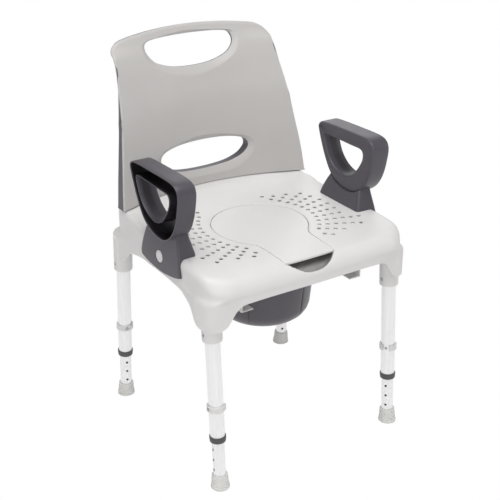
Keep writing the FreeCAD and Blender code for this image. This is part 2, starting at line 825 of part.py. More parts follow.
def bucket():
    """A turned bucket with a broad flange that runs in the rails."""
    wall = size("bucket_wall")
    middle_y = size("bucket_middle_y")
    flange_base = rail_base + size("rail_wall") + size("seat_clearance")
    flange_top = flange_base + size("flange_thickness")
    side_low = seat_top - size("bucket_side_drop")
    base = seat_top - size("bucket_base_drop")

    def turned(inset, top):
        knee = Vector(size("bucket_side_radius") - inset, middle_y, side_low)
        heel = Vector(size("bucket_base_radius") - inset, middle_y, base + inset)
        bend_height = base + (side_low - base) * 0.28 + inset * 0.8
        bend = Vector(knee.x - (knee.x - heel.x) * 0.3, middle_y, bend_height)
        rim = Vector(size("bucket_radius") - inset, middle_y, top)
        low_middle = Vector(0, middle_y, base + inset)
        high_middle = Vector(0, middle_y, top)
        edges = [Part.LineSegment(low_middle, heel).toShape(), Part.Arc(heel, bend, knee).toShape(),
                 Part.LineSegment(knee, rim).toShape(), Part.LineSegment(rim, high_middle).toShape(),
                 Part.LineSegment(high_middle, low_middle).toShape()]
        return Part.Face(Part.Wire(edges)).revolve(Vector(0, middle_y, 0), UP, 360)

    half_y = size("flange_half_y")
    corner = size("flange_corner")
    front, rear = middle_y - half_y, middle_y + half_y
    outline = [(-flange_half_x, front, corner), (flange_half_x, front, corner),
               (flange_half_x, rear, corner), (-flange_half_x, rear, corner)]
    flange = prism(rounded_wire(outline, in_plan(flange_base)), UP * size("flange_thickness"))
    return turned(0, flange_top).fuse(flange).cut(turned(wall, flange_top + 0.01))


rail(-1)
rail(1)
shape_feature("rail_screws", rail_screws())
shape_feature("bucket", bucket())

# ---------------------------------------------------------------- backrest

# the backrest's front face: (rise above the ledge, narrowing of each half, how far the
# side edge lies ahead of the seat's rear, forward bow per mm2)
BACK_RUN = [
    (0.8, 1.0, 76.0, 9.6e-4), (48, 6.0, 69.0, 9.6e-4), (88, 10.4, 62.0, 9.6e-4),
    (128, 16.0, 53.0, 9.3e-4), (168, 21.0, 44.0, 9.0e-4), (208, 27.0, 33.0, 8.7e-4),
    (248, 34.0, 17.0, 8.4e-4), (288, 40.0, 0.0, 8.1e-4), (308, 42.0, -10.0, 8.0e-4),
    (328, 43.0, -22.0, 7.9e-4), (353, 43.0, -35.0, 7.8e-4), (380, 43.0, -43.0, 7.8e-4),
]


def back_loft(front_shift, rear_of, inset):
    """A solid between two bowed sheets, lofted from the seat to the top."""
    wires = []
    for rise, narrowing, ahead, bow in BACK_RUN:
        height = seat_ledge + rise
        edge = seat_rear - ahead
        half = half_width - narrowing - inset
        centre = edge + bow * (half + inset) ** 2
        edge_here = centre - bow * half ** 2
        rear_edge, rear_centre = rear_of(edge_here, centre)
        front = [Vector(-half, edge_here + front_shift, height), Vector(0, centre + front_shift, height),
                 Vector(half, edge_here + front_shift, height)]
        rear = [Vector(half, rear_edge, height), Vector(0, rear_centre, height),
                Vector(-half, rear_edge, height)]
        wires.append(Part.Wire([Part.Arc(*front).toShape(), Part.LineSegment(front[2], rear[0]).toShape(),
                                Part.Arc(*rear).toShape(), Part.LineSegment(rear[2], front[0]).toShape()]))
    return Part.makeLoft(wires, True, False)


def above_top(inset):
    """What lies above the backrest's arched top and rounded upper corners."""
    crown = seat_top + size("back_rise") - inset
    half = half_width - 41 - inset
    wide = half + 93
    return prism(rounded_wire([
        (-wide, crown - 46, 0), (-half, crown - 46, 8), (-half + 15, crown - 23, 20),
        (-half + 117, crown - 11, 200), (0, crown, 400), (half - 117, crown - 11, 200),
        (half - 15, crown - 23, 20), (half, crown - 46, 8), (wide, crown - 46, 0),
        (wide, crown + 116, 0), (-wide, crown + 116, 0),
    ], in_front(0)), Vector(0, FAR, 0))


def handle_opening(grow):
    half = size("handle_half") + grow
    low = seat_top + size("handle_base_rise") - grow
    high = seat_top + size("handle_top_rise") + grow
    return prism(rounded_wire([
        (-half, low + 38, 22), (-half * 0.72, low + 6, 60), (0, low - 7, 160), (half * 0.72, low + 6, 60),
        (half, low + 38, 22), (half * 0.95, high - 6, 22), (0, high + 1, 400), (-half * 0.95, high - 6, 22),
    ], in_front(0)), Vector(0, FAR, 0))


def lumbar_opening(grow):
    half = size("lumbar_half") + grow
    low = seat_top + size("lumbar_base_rise") - grow
    high = seat_top + size("lumbar_top_rise") + grow
    return prism(rounded_wire([
        (-half, high - 17, 10), (-half * 0.93, low + 24, 14), (-half * 0.45, low + 2, 80),
        (half * 0.45, low + 2, 80), (half * 0.93, low + 24, 14), (half, high - 17, 10),
        (half * 0.5, high, 120), (-half * 0.5, high, 120),
    ], in_front(0)), Vector(0, FAR, 0))


def screw_spots():
    low = (half_width - 58, seat_top + 132)
    high = (half_width - 83, seat_top + 282)
    return [(side * x, z) for x, z in (low, high) for side in (-1, 1)]


def backrest():
    front_wall = size("front_shell_wall")
    rear_wall = size("rear_shell_wall")
    depth = size("rear_shell_depth")
    edge_line = seat_rear - size("rear_edge_setback")
    edge_wall = size("rear_edge_wall")

    def rear_face(edge, centre):
        return max(edge_line, edge + front_wall + edge_wall), centre + depth

    def rear_inside(edge, centre):
        return max(edge_line, edge + front_wall + edge_wall) - rear_wall, centre + depth - rear_wall

    front = back_loft(0, lambda edge, centre: (edge + front_wall, centre + front_wall), 0)
    outer = back_loft(front_wall, rear_face, 0)
    inner = back_loft(front_wall / 2, rear_inside, rear_wall).cut(above_top(rear_wall))
    inner = inner.cut(box((-FAR, 0, 0), (FAR, FAR, seat_ledge + rear_wall)))
    inner = inner.cut([handle_opening(size("opening_wall")), lumbar_opening(size("opening_wall"))])
    openings = [above_top(0), handle_opening(0), lumbar_opening(0)]
    bosses, heads, shanks = [], [], []
    for x, z in screw_spots():
        bosses.append(across_y(x, 0, z, 5.0, FAR).common(inner))
        shanks.append(across_y(x, 0, z, 2.0, FAR).common(inner))
        heads.append(across_y(x, 0, z, 4.0, FAR).common(outer.cut(inner)))
    front_shell = front.cut(openings).fuse(bosses).cut(shanks)
    rear_shell = outer.cut(inner).cut(openings + heads)
    tongues = []
    for side in (-1, 1):
        low, high = back_tongue_box(side)
        tongues.append(box(low, high).cut(inner))
    rear_shell = rear_shell.fuse(tongues)
    screws = [head.fuse(shank).removeSplitter() for head, shank in zip(heads, shanks)]
    return front_shell, rear_shell, Part.makeCompound(screws)


for label, shape in zip(("backrest_front_shell", "backrest_rear_shell", "backrest_screws"), backrest()):
    shape_feature(label, shape)

# ---------------------------------------------------------------- armrests


def risen(outline):
    """An outline whose heights are given above the seat's top."""
    return [(across, seat_top + rise, radius) for across, rise, radius in outline]


def ring_outline(across):
    return rounded_wire(risen([(-131, 179, 22), (67, 177, 10), (62, 152, 30), (8, 39, 45), (-92, 32, 45),
                               (-131, 97, 60)]), in_side(across))


def finger_outline(across):
    return rounded_wire(risen([(-90, 149, 16), (55, 149, 9), (-10, 66, 22), (-45, 66, 25), (-86, 102, 30)]),
                        in_side(across))


def base_outline(across):
    return rounded_wire(risen([(-131, 112, 0), (40, 112, 0), (8, 57, 20), (38, 0, 8), (36, -20, 6),
                               (-45, -27, 200), (-124, -20, 6), (-135, -8, 6), (-128, 57, 20)]),
                        in_side(across))


def base_section(depth):
    inner, outer = arm_inner_x, arm_outer_x
    return rounded_wire(risen([(inner, 112, 0), (inner, 47, 30), (inner - 13, 12, 3), (inner - 13, -18, 0),
                               (inner + 18, -33, 0), (outer + 2, -33, 0), (outer + 2, -18, 3),
                               (outer - 6, 52, 20), (outer - 6, 112, 0)]), in_front(depth))


def armrest(side, seat_body):
    """A grip ring on a flared base that saddles the seat's edge, and its cap."""
    flare = prism(base_outline(0), Vector(FAR, 0, 0)).common(prism(base_section(-FAR / 2), Vector(0, FAR, 0)))
    ring = prism(ring_outline(arm_inner_x), Vector(size("arm_width"), 0, 0))
    opening = prism(finger_outline(0), Vector(FAR, 0, 0))
    lip = size("arm_lip")
    hollow = prism(ring_outline(arm_inner_x + size("arm_web")).makeOffset2D(-lip), Vector(FAR, 0, 0))
    hollow = hollow.cut(prism(finger_outline(0).makeOffset2D(lip), Vector(FAR, 0, 0)))
    cap_place = Vector(arm_outer_x - size("cap_inset"), size("cap_y"), seat_top + size("cap_rise"))
    across = Vector(1, 0, 0)
    cap = Part.makeCylinder(size("cap_radius"), size("cap_height"), cap_place, across)
    recess = Part.makeCylinder(size("cap_radius"), FAR, cap_place, across)
    arm = ring.fuse(flare.cut(seat_body)).cut([opening, hollow])
    arm = arm.fuse(box(*arm_tongue_box(1))).cut(recess)
    if side > 0:
        return arm, cap
    return [shape.mirror(Vector(0, 0, 0), across) for shape in (arm, cap)]


gap = size("seat_clearance")
clear_of_seat = seat_outside.translated(Vector(gap, 0, gap))
for side, name in ((-1, "left"), (1, "right")):
    arm, cap = armrest(side, clear_of_seat)
    shape_feature("armrest_" + name, arm)
    shape_feature("armrest_cap_" + name, cap)

# ---------------------------------------------------------------- write

doc.recompute()
HELPERS = ("foot_tip_", "ground_")
KINDS = ("PartDesign::Body", "Part::Feature", "Part::Cut")
for item in doc.Objects:
    if "Invalid" in item.State or "Error" in item.State:
        raise RuntimeError("failed object: " + item.Label)
nodes = [item for item in doc.Objects if item.TypeId in KINDS and not item.Label.startswith(HELPERS)]
for node in nodes:
    if node.Shape.isNull() or not node.Shape.isValid() or not node.Shape.Solids:
        raise RuntimeError("bad shape: " + node.Label)
os.makedirs("parts", exist_ok=True)
for node in nodes:
    node.Shape.exportStep(f"parts/{node.Label}.step")
    print(node.Label, len(node.Shape.Solids), round(node.Shape.Volume / 1000, 2), "cm3")
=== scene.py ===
import bpy
import bmesh
import math
from mathutils import Matrix, Vector
from mathutils.kdtree import KDTree


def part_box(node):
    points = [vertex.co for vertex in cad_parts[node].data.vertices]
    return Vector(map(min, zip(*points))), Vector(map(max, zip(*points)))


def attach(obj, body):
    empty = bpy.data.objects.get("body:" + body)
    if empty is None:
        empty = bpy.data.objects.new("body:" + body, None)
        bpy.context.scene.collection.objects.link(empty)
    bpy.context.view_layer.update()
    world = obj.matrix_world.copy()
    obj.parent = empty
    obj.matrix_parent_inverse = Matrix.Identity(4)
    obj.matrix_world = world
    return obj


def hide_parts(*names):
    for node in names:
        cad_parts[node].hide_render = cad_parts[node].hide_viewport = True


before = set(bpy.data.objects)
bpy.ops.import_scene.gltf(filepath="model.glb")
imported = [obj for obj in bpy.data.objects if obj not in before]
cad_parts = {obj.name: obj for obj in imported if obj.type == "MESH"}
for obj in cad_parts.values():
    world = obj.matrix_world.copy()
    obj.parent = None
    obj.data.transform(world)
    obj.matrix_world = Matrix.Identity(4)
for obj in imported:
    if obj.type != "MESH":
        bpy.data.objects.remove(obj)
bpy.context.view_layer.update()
print("frame loaded")

# A commode chair. Lengths below are millimetres about the middle of the four legs:
# x to the right as seen from the front, y to the rear, z up. toFrame turns them into
# metres in the frame.
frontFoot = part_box("foot_front_left")
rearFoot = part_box("foot_rear_left")
middleY = (frontFoot[0].y + rearFoot[1].y) / 2
toFrame = Matrix.Translation((0, middleY, 0)) @ Matrix.Scale(0.001, 4)
fromFrame = toFrame.inverted()


# small tools

def smoothStep(value, low, high):
    share = min(max((value - low) / (high - low), 0.0), 1.0)
    return share * share * (3 - 2 * share)


def mix(a, b, share):
    return a + (b - a) * share


def along(table, value):  # a smooth curve through (place, height) pairs
    if value <= table[0][0]:
        return table[0][1]
    if value >= table[-1][0]:
        return table[-1][1]
    index = max(i for i in range(len(table) - 1) if table[i][0] <= value)

    def slope(i):
        low, high = max(i - 1, 0), min(i + 1, len(table) - 1)
        return (table[high][1] - table[low][1]) / (table[high][0] - table[low][0])

    (x0, y0), (x1, y1) = table[index], table[index + 1]
    span = x1 - x0
    t = (value - x0) / span
    m0, m1 = slope(index) * span, slope(index + 1) * span
    return ((2 * t ** 3 - 3 * t ** 2 + 1) * y0 + (t ** 3 - 2 * t ** 2 + t) * m0
            + (3 * t ** 2 - 2 * t ** 3) * y1 + (t ** 3 - t ** 2) * m1)


def wayAt(angle):
    return Vector((math.cos(angle), math.sin(angle)))


def roundedOutline(corners, arcSteps):  # (across, up, radius) corners to points
    points = []
    count = len(corners)
    for index, (x, y, radius) in enumerate(corners):
        spot = Vector((x, y))
        armIn = (Vector(corners[index - 1][:2]) - spot).normalized()
        armOut = (Vector(corners[(index + 1) % count][:2]) - spot).normalized()
        half = armIn.angle(armOut) / 2
        centre = spot + (armIn + armOut).normalized() * (radius / math.sin(half))
        first = spot + armIn * (radius / math.tan(half)) - centre
        last = spot + armOut * (radius / math.tan(half)) - centre
        turn = first.angle_signed(last)
        for step in range(arcSteps + 1):
            points.append(centre + Matrix.Rotation(-turn * step / arcSteps, 2) @ first)
    return points


def roundedBox(half, front, rear, corner, arcSteps):
    return roundedOutline([(-half, front, corner), (half, front, corner), (half, rear, corner),
                           (-half, rear, corner)], arcSteps)


def curveThrough(points, steps=6, closed=True):  # a smooth curve through on-curve points
    count = len(points)
    spots = []
    for i in range(count if closed else count - 1):
        near = [k % count if closed else min(max(k, 0), count - 1) for k in range(i - 1, i + 3)]
        a, b, c, d = (Vector(points[k]) for k in near)
        for step in range(steps):
            t = step / steps
            spots.append((b * 2 + (c - a) * t + (a * 2 - b * 5 + c * 4 - d) * t ** 2
                          + (b * 3 - a - c * 3 + d) * t ** 3) / 2)
    return spots if closed else spots + [Vector(points[-1])]


def mirrored(half):  # both sides of an outline given from its bottom middle to its top middle
    return half + [(-x, z) for x, z in reversed(half[1:-1])]


def spreadAlong(points, count, closed=True):  # evenly spaced points on an outline
    path = points + points[:1] if closed else points
    runs = [(b - a).length for a, b in zip(path, path[1:])]
    total = sum(runs)
    steps = count if closed else count - 1
    spots = []
    index, before = 0, 0.0
    for k in range(count):
        want = total * k / steps
        while index < len(runs) - 1 and before + runs[index] < want:
            before += runs[index]
            index += 1
        share = min((want - before) / max(runs[index], 1e-9), 1.0)
        spots.append(path[index].lerp(path[index + 1], share))
    return spots


def rayTo(points, centre, angle):  # where a ray from the centre leaves an outline
    way = wayAt(angle)
    side = Vector((-way.y, way.x))
    best = 0.0
    for a, b in zip(points, points[1:] + points[:1]):
        da, db = (a - centre).dot(side), (b - centre).dot(side)
        if da * db <= 0 and da != db:
            reach = (a.lerp(b, da / (da - db)) - centre).dot(way)
            best = max(best, reach)
    return centre + way * best


def shifted(loop, distance):  # an outline moved along its own outward normals
    count = len(loop)
    turning = sum(a.x * b.y - b.x * a.y for a, b in zip(loop, loop[1:] + loop[:1]))
    sign = 1 if turning > 0 else -1
    moved = []
    for i in range(count):
        way = (loop[(i + 1) % count] - loop[i - 1]).normalized()
        moved.append(loop[i] + Vector((way.y, -way.x)) * distance * sign)
    return moved


def atHeight(loop, height):
    return [Vector((spot.x, spot.y, height)) for spot in loop]


def draped(loop, heightOf):  # an outline laid on a surface
    return [Vector((spot.x, spot.y, heightOf(spot))) for spot in loop]


def skinLoops(loops):  # a ring of edges drawn out through every loop in turn
    bm = bmesh.new()
    bmesh.ops.create_circle(bm, segments=len(loops[0]), radius=1)
    ring = list(bm.verts)
    for vert, spot in zip(ring, loops[0]):
        vert.co = spot
    edges = list(bm.edges)
    for loop in loops[1:]:
        drawn = bmesh.ops.extrude_edge_only(bm, edges=edges)["geom"]
        fresh = {item for item in drawn if isinstance(item, bmesh.types.BMVert)}
        edges = [item for item in drawn
                 if isinstance(item, bmesh.types.BMEdge) and set(item.verts) <= fresh]
        ring = [next(edge.other_vert(vert) for edge in vert.link_edges if edge.other_vert(vert) in fresh)
                for vert in ring]
        for vert, spot in zip(ring, loop):
            vert.co = spot
    return bm


def closeUp(bm, distance=0.002):
    bmesh.ops.remove_doubles(bm, verts=bm.verts[:], dist=distance)
    bmesh.ops.recalc_face_normals(bm, faces=bm.faces[:])
    return bm


def spun(profile, steps=64):  # a closed half section turned about z
    bm = bmesh.new()
    verts = [bm.verts.new((radius, 0, height)) for radius, height in profile]
    edges = [bm.edges.new(pair) for pair in zip(verts, verts[1:] + verts[:1])]
    bmesh.ops.spin(bm, geom=verts + edges, cent=(0, 0, 0), axis=(0, 0, 1), angle=math.tau, steps=steps,
                   use_merge=True)
    return closeUp(bm)


def rod(radius, start, end, steps):
    bm = bmesh.new()
    start, end = Vector(start), Vector(end)
    way = end - start
    turn = way.to_track_quat("Z", "Y").to_matrix().to_4x4()
    bmesh.ops.create_cone(bm, cap_ends=True, segments=steps, radius1=radius, radius2=radius,
                          depth=way.length, matrix=Matrix.Translation(start.lerp(end, 0.5)) @ turn)
    return bm


def bevelled(bm, edges, offset, clamp=False):
    bmesh.ops.bevel(bm, geom=edges, offset=offset, affect="EDGES", segments=2, profile=0.5,
                    material=-1, clamp_overlap=clamp)
    return bm


def block(low, high, bevel=0.0):
    bm = bmesh.new()
    low, high = Vector(low), Vector(high)
    place = Matrix.Translation((low + high) / 2) @ Matrix.Diagonal((*(high - low), 1))
    bmesh.ops.create_cube(bm, size=1, matrix=place)
    return bevelled(bm, bm.edges[:], bevel) if bevel else bm


def merged(shapes):  # several meshes in one, side by side
    whole = bmesh.new()
    for shape in shapes:
        mesh = bpy.data.meshes.new("part")
        shape.to_mesh(mesh)
        whole.from_mesh(mesh)
        shape.free()
        bpy.data.meshes.remove(mesh)
    return whole


def paintedShadeMarked(bm, paintedShadeAt):  # marks the vertices that are given painted shade, for the finishes
    layer = bm.verts.layers.float.get("depth") or bm.verts.layers.float.new("depth")
    for vert in bm.verts:
        vert[layer] = paintedShadeAt(vert.co)
    return bm


def placed(bm, matrix):
    bm.transform(matrix)
    return bm


def asObject(bm, name):
    mesh = bpy.data.meshes.new(name)
    bm.to_mesh(mesh)
    bm.free()
    obj = bpy.data.objects.new(name, mesh)
    bpy.context.scene.collection.objects.link(obj)
    return obj


def thickened(bm, thickness):  # a skin given a wall behind it
    made = bmesh.ops.extrude_face_region(bm, geom=bm.faces[:], use_keep_orig=True)["geom"]
    bm.normal_update()
    moves = [(item, item.normal * thickness) for item in made if isinstance(item, bmesh.types.BMVert)]
    for vert, move in moves:
        vert.co -= move
    bmesh.ops.recalc_face_normals(bm, faces=bm.faces[:])
    return bm


def combined(bm, tool, operation, tangled=False):  # a boolean, applied at once
    base = asObject(bm, "base")
    other = asObject(tool, "tool")
    cut = base.modifiers.new("cut", "BOOLEAN")
    cut.operation = operation
    cut.solver = "EXACT"
    cut.use_self = tangled
    cut.object = other
    bpy.context.view_layer.update()
    graph = bpy.context.evaluated_depsgraph_get()
    mesh = bpy.data.meshes.new_from_object(base.evaluated_get(graph))
    result = bmesh.new()
    result.from_mesh(mesh)
    for obj in (base, other):
        used = obj.data
        bpy.data.objects.remove(obj)
        bpy.data.meshes.remove(used)
    bpy.data.meshes.remove(mesh)
    return result


def finished(name, bm, slot, body, stands=(), crease=38):  # one visible piece, in the frame
    limit = math.radians(crease)
    for face in bm.faces:
        face.smooth = True
    for edge in bm.edges:
        edge.smooth = len(edge.link_faces) == 2 and edge.calc_face_angle(0) < limit
    bm.transform(toFrame)
    obj = asObject(bm, name)
    obj.data.materials.append(finishes[slot])
    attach(obj, body)
    if stands:
        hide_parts(*stands)
    return obj


# finishes

class Shade:  # a node socket that can be used in sums
    def __init__(self, tree, socket):
        self.tree = tree
        self.socket = socket

    def sum(self, operation, first, second):
        node = self.tree.nodes.new("ShaderNodeMath")
        node.operation = operation
        for socket, value in zip(node.inputs, (first, second)):
            if isinstance(value, Shade):
                self.tree.links.new(value.socket, socket)
            else:
                socket.default_value = value
        return Shade(self.tree, node.outputs[0])

    def __add__(self, other):
        return self.sum("ADD", self, other)

    def __sub__(self, other):
        return self.sum("SUBTRACT", self, other)

    def __mul__(self, other):
        return self.sum("MULTIPLY", self, other)


class Finish:  # a material being built
    def __init__(self, name):
        self.material = bpy.data.materials.new(name)
        self.material.use_nodes = True
        self.tree = self.material.node_tree
        self.shader = self.tree.nodes["Principled BSDF"]
        self.place = self.node("ShaderNodeTexCoord", {}, {}, "Object")

    def node(self, kind, settings, inputs, output=0):
        made = self.tree.nodes.new(kind)
        for key, value in settings.items():
            if key == "stops":
                ramp = made.color_ramp.elements
                while len(ramp) < len(value):
                    ramp.new(0.5)
                for stop, (position, colour) in zip(ramp, value):
                    stop.position = position
                    stop.color = (*colour, 1)
            else:
                setattr(made, key, value)
        for key, value in inputs.items():
            if isinstance(value, Shade):
                self.tree.links.new(value.socket, made.inputs[key])
            else:
                made.inputs[key].default_value = value
        return Shade(self.tree, made.outputs[output])

    def noise(self, scale, detail, roughness=0.5):
        return self.node("ShaderNodeTexNoise", {}, {"Vector": self.place, "Scale": scale, "Detail": detail,
                                                    "Roughness": roughness})

    def ramp(self, stops, place):  # (position, colour) stops read off at a value
        return self.node("ShaderNodeValToRGB", {"stops": stops}, {"Fac": place})

    def feed(self, **values):
        for key, value in values.items():
            socket = self.shader.inputs[key.replace("_", " ")]
            if isinstance(value, Shade):
                self.tree.links.new(value.socket, socket)
            else:
                socket.default_value = value

    def bump(self, height, strength, distance):
        self.feed(Normal=self.node("ShaderNodeBump", {}, {"Height": height, "Strength": strength,
                                                          "Distance": distance}))


def tinted(colour, factor):
    return tuple(min(c * factor, 1.0) for c in colour)


def mouldedPlastic(name, colour, roughness, grain, grainScale=900.0, coat=0.0, dust=0.05, recess=0.12):
    finish = Finish(name)
    # painted shade: where the "depth" attribute marks a vertex as shaded, the colour darkens toward the
    # recess factor
    depth = finish.node("ShaderNodeAttribute", {"attribute_name": "depth"}, {}, "Fac")
    stops = [(0.0, tinted(colour, recess)), (0.3, tinted(colour, 1 - dust)),
             (0.7, tinted(colour, 1 + dust * 0.6))]
    tone = finish.ramp(stops, finish.noise(9.0, 4.0) * 0.5 + 0.28 - depth * 0.5)
    finish.feed(Base_Color=tone, Roughness=finish.noise(26.0, 5.0) * 0.12 + (roughness - 0.06))
    finish.feed(Coat_Weight=coat, Coat_Roughness=0.25, Specular_IOR_Level=0.45)
    finish.bump(finish.noise(grainScale, 2.0), grain, 0.0004)
    return finish.material


def anodised(name, colour, roughness):
    finish = Finish(name)
    drawn = finish.node("ShaderNodeMapping", {}, {"Vector": finish.place, "Scale": (260.0, 260.0, 5.0)})
    streaks = finish.node("ShaderNodeTexNoise", {}, {"Vector": drawn, "Scale": 1.0, "Detail": 3.0})
    tone = finish.ramp([(0.3, tinted(colour, 0.95)), (0.75, tinted(colour, 1.03))], streaks)
    finish.feed(Base_Color=tone, Metallic=0.55, Roughness=streaks * 0.12 + (roughness - 0.06))
    finish.bump(streaks, 0.05, 0.0003)
    return finish.material


def rubber(name, colour):
    finish = Finish(name)
    mottled = finish.noise(60.0, 5.0, 0.6)
    tone = finish.ramp([(0.35, tinted(colour, 0.93)), (0.7, tinted(colour, 1.04))], mottled)
    finish.feed(Base_Color=tone, Roughness=mottled * 0.2 + 0.55, Specular_IOR_Level=0.35)
    finish.bump(finish.noise(700.0, 2.0), 0.05, 0.0002)
    return finish.material


def plated(name, colour, roughness):
    finish = Finish(name)
    cloud = finish.noise(180.0, 4.0)
    finish.feed(Base_Color=(*colour, 1), Metallic=1.0, Roughness=cloud * 0.15 + roughness)
    finish.bump(cloud, 0.05, 0.0002)
    return finish.material


# recess sets how dark the painted shade is where vertices are marked as shaded
finishes = {  # by the slot they fill
    "seat_plastic": mouldedPlastic("seatPlastic", (0.77, 0.752, 0.748), 0.42, 0.05, coat=0.12),
    "back_plastic": mouldedPlastic("backPlastic", (0.525, 0.508, 0.496), 0.44, 0.05, coat=0.1),
    "back_rear_plastic": mouldedPlastic("backRearPlastic", (0.115, 0.108, 0.125), 0.5, 0.12),
    "arm_plastic": mouldedPlastic("armPlastic", (0.08, 0.072, 0.088), 0.4, 0.15, 1300.0, dust=0.08,
                                  recess=0.08),
    "cap_plastic": mouldedPlastic("capPlastic", (0.72, 0.72, 0.73), 0.35, 0.04),
    "bucket_plastic": mouldedPlastic("bucketPlastic", (0.088, 0.08, 0.094), 0.36, 0.08, dust=0.08,
                                     recess=0.35),
    "rail_plastic": mouldedPlastic("railPlastic", (0.66, 0.65, 0.64), 0.45, 0.05),
    "collar_plastic": mouldedPlastic("collarPlastic", (0.085, 0.084, 0.086), 0.5, 0.1),
    "clip_plastic": mouldedPlastic("clipPlastic", (0.78, 0.77, 0.765), 0.42, 0.06),
    "leg_aluminium": anodised("legAluminium", (0.92, 0.91, 0.92), 0.34),
    "foot_rubber": rubber("footRubber", (0.76, 0.755, 0.73)),
    "steel": plated("steel", (0.45, 0.45, 0.46), 0.3),
}
print("finishes made")

# the seat's form, which the cover and armrests follow too

seat = {
    "halfWidth": 248.0, "front": -238.0, "rear": 224.0, "corner": 45.0,
    "middle": [(-238, 479.5), (-212, 483), (-188, 485.5), (-138, 487), (-20, 488), (80, 490), (130, 494.5),
               (160, 503), (180, 509.5), (202, 511.4), (224, 511.6)],
    "sides": [(-238, 488), (-212, 492), (-188, 495.5), (-138, 499.5), (-20, 501), (80, 504), (130, 509.5),
              (150, 511.4), (180, 511.8), (224, 512)],
    "wall": 3.6, "guardBottom": 434.0, "ledgeDepth": 5.6, "gap": 1.25,
    "sideRound": 15.0, "frontRound": 30.0, "rearRound": 5.0, "cornerExtra": 60.0,
    "skirtX": 257.0, "skirtY": 230.0, "skirtRadius": 28.0, "ledgeTop": 453.0, "ledgeFoot": 441.0,
    "frontDraft": 0.5,
    "sideEdge": [(-203, 383), (-187, 387), (-176, 397), (-164, 413), (-152, 421), (-133, 427), (-109, 434),
                 (-58, 438), (-5, 439), (51, 437), (95, 429), (130, 419), (151, 399), (166, 384),
                 (200, 382)],
    "frontEdge": [(0, 432), (172, 432), (189, 426), (197, 417), (205, 404), (213, 391), (223, 384),
                  (240, 382)],
    "scoopRadius": 92.0, "scoopFront": -236.5, "scoopDepth": 20.0, "scoopReach": 17.0,
    "holeRows": [  # place in the fan, holes, start
        (6, 1, 149), (5, 2, 138), (4, 3, 136), (3, 4, 135), (2, 4, 134), (1, 4, 134), (0, 4, 134),
        (-1, 4, 134),
        (-2, 4, 134), (-3, 6, 134), (-4, 6, 134), (-5, 4, 134), (-6, 2, 152)],
    "holeFan": 8.95, "holePitch": 18.4, "holeLean": 0.88, "holeRadius": 5.0,
}
cover = {
    "middleY": -20.0, "radius": 107.0, "neckHalf": 63.0, "front": -211.5, "blend": 15.0,
    "thickness": 5.2, "openingRadius": 91.5, "openingNeckHalf": 46.0, "openingFront": -165.0,
    "rearReach": 60.0, "rimFoot": 464.0,
}
fanCentre = Vector((0, -40))  # rays from here meet each outline of the seat once


def seatHeight(x, y):
    middle = along(seat["middle"], y)
    sides = along(seat["sides"], y)
    return middle + (sides - middle) * min(abs(x) / seat["halfWidth"], 1.0) ** 2


def frontDrop(y):  # how far the front's rounding lowers the upper surface
    radius = seat["frontRound"]
    short = min(max(radius - (y - seat["front"]), 0.0), radius)
    return radius - math.sqrt(radius * radius - short * short)


def scoopDrop(x, y):  # the hollow that lets a finger under the cover
    centreY = seat["scoopFront"] + seat["scoopRadius"]
    half = cover["neckHalf"]
    squared = half * (abs(x) / half) ** 1.4  # fuller at its ends than a circle
    inside = seat["scoopRadius"] - math.hypot(squared, y - centreY)
    share = min(max(inside, 0.0) / seat["scoopReach"], 1.0)
    return seat["scoopDepth"] * (1 - (1 - share) ** 2)


def seatTop(spot):  # the upper surface, without the finger scoop
    return seatHeight(spot.x, spot.y) - frontDrop(spot.y)


def coverReach(angle, radius, neckHalf, front):  # how far an outline lies from the fan's centre
    way = wayAt(angle)
    toMiddle = Vector((0, cover["middleY"])) - fanCentre
    ahead = toMiddle.dot(way)
    disc = ahead + math.sqrt(max(radius ** 2 - toMiddle.length_squared + ahead ** 2, 0))
    limit = (front - fanCentre.y) / way.y if way.y < 0 else cover["rearReach"]
    neck = min(neckHalf / max(abs(way.x), 1e-6), limit)
    if abs(disc - neck) >= cover["rearReach"]:
        return max(disc, neck)
    return (disc + neck + math.sqrt((disc - neck) ** 2 + cover["blend"] ** 2)) / 2


def fanLoop(angles, grow, *form):
    radius, neckHalf, front = (cover[key] for key in form)
    return [fanCentre + wayAt(angle) * coverReach(angle, radius + grow, neckHalf + grow, front - grow)
            for angle in angles]


def coverLoop(angles, grow=0.0):
    return fanLoop(angles, grow, "radius", "neckHalf", "front")


def openingLoop(angles, grow=0.0):
    return fanLoop(angles, grow, "openingRadius", "openingNeckHalf", "openingFront")


def seatOutline():
    return roundedBox(seat["halfWidth"], seat["front"], seat["rear"], seat["corner"], 14)


# ray angles that space points evenly round the seat, exact at the cover's corners
def seatAngles(count):
    spots = spreadAlong(seatOutline(), count)
    angles = [math.atan2(*(spot - fanCentre).yx) for spot in spots]
    for side in (-1, 1):
        exact = math.atan2(cover["front"] - fanCentre.y, side * cover["neckHalf"])
        nearest = min(range(count), key=lambda i: abs(angles[i] - exact))
        angles[nearest] = exact
    return angles


def edgeRound(normal, y):  # how broadly the seat's upper edge is rounded here
    across, forward = abs(normal.x), -normal.y
    if forward > 0:
        plain = mix(seat["sideRound"], seat["frontRound"], forward ** 2)
        return plain + seat["cornerExtra"] * (across * forward) ** 2
    rearward = smoothStep(y, 25, 135)
    return mix(seat["sideRound"], seat["rearRound"], rearward)


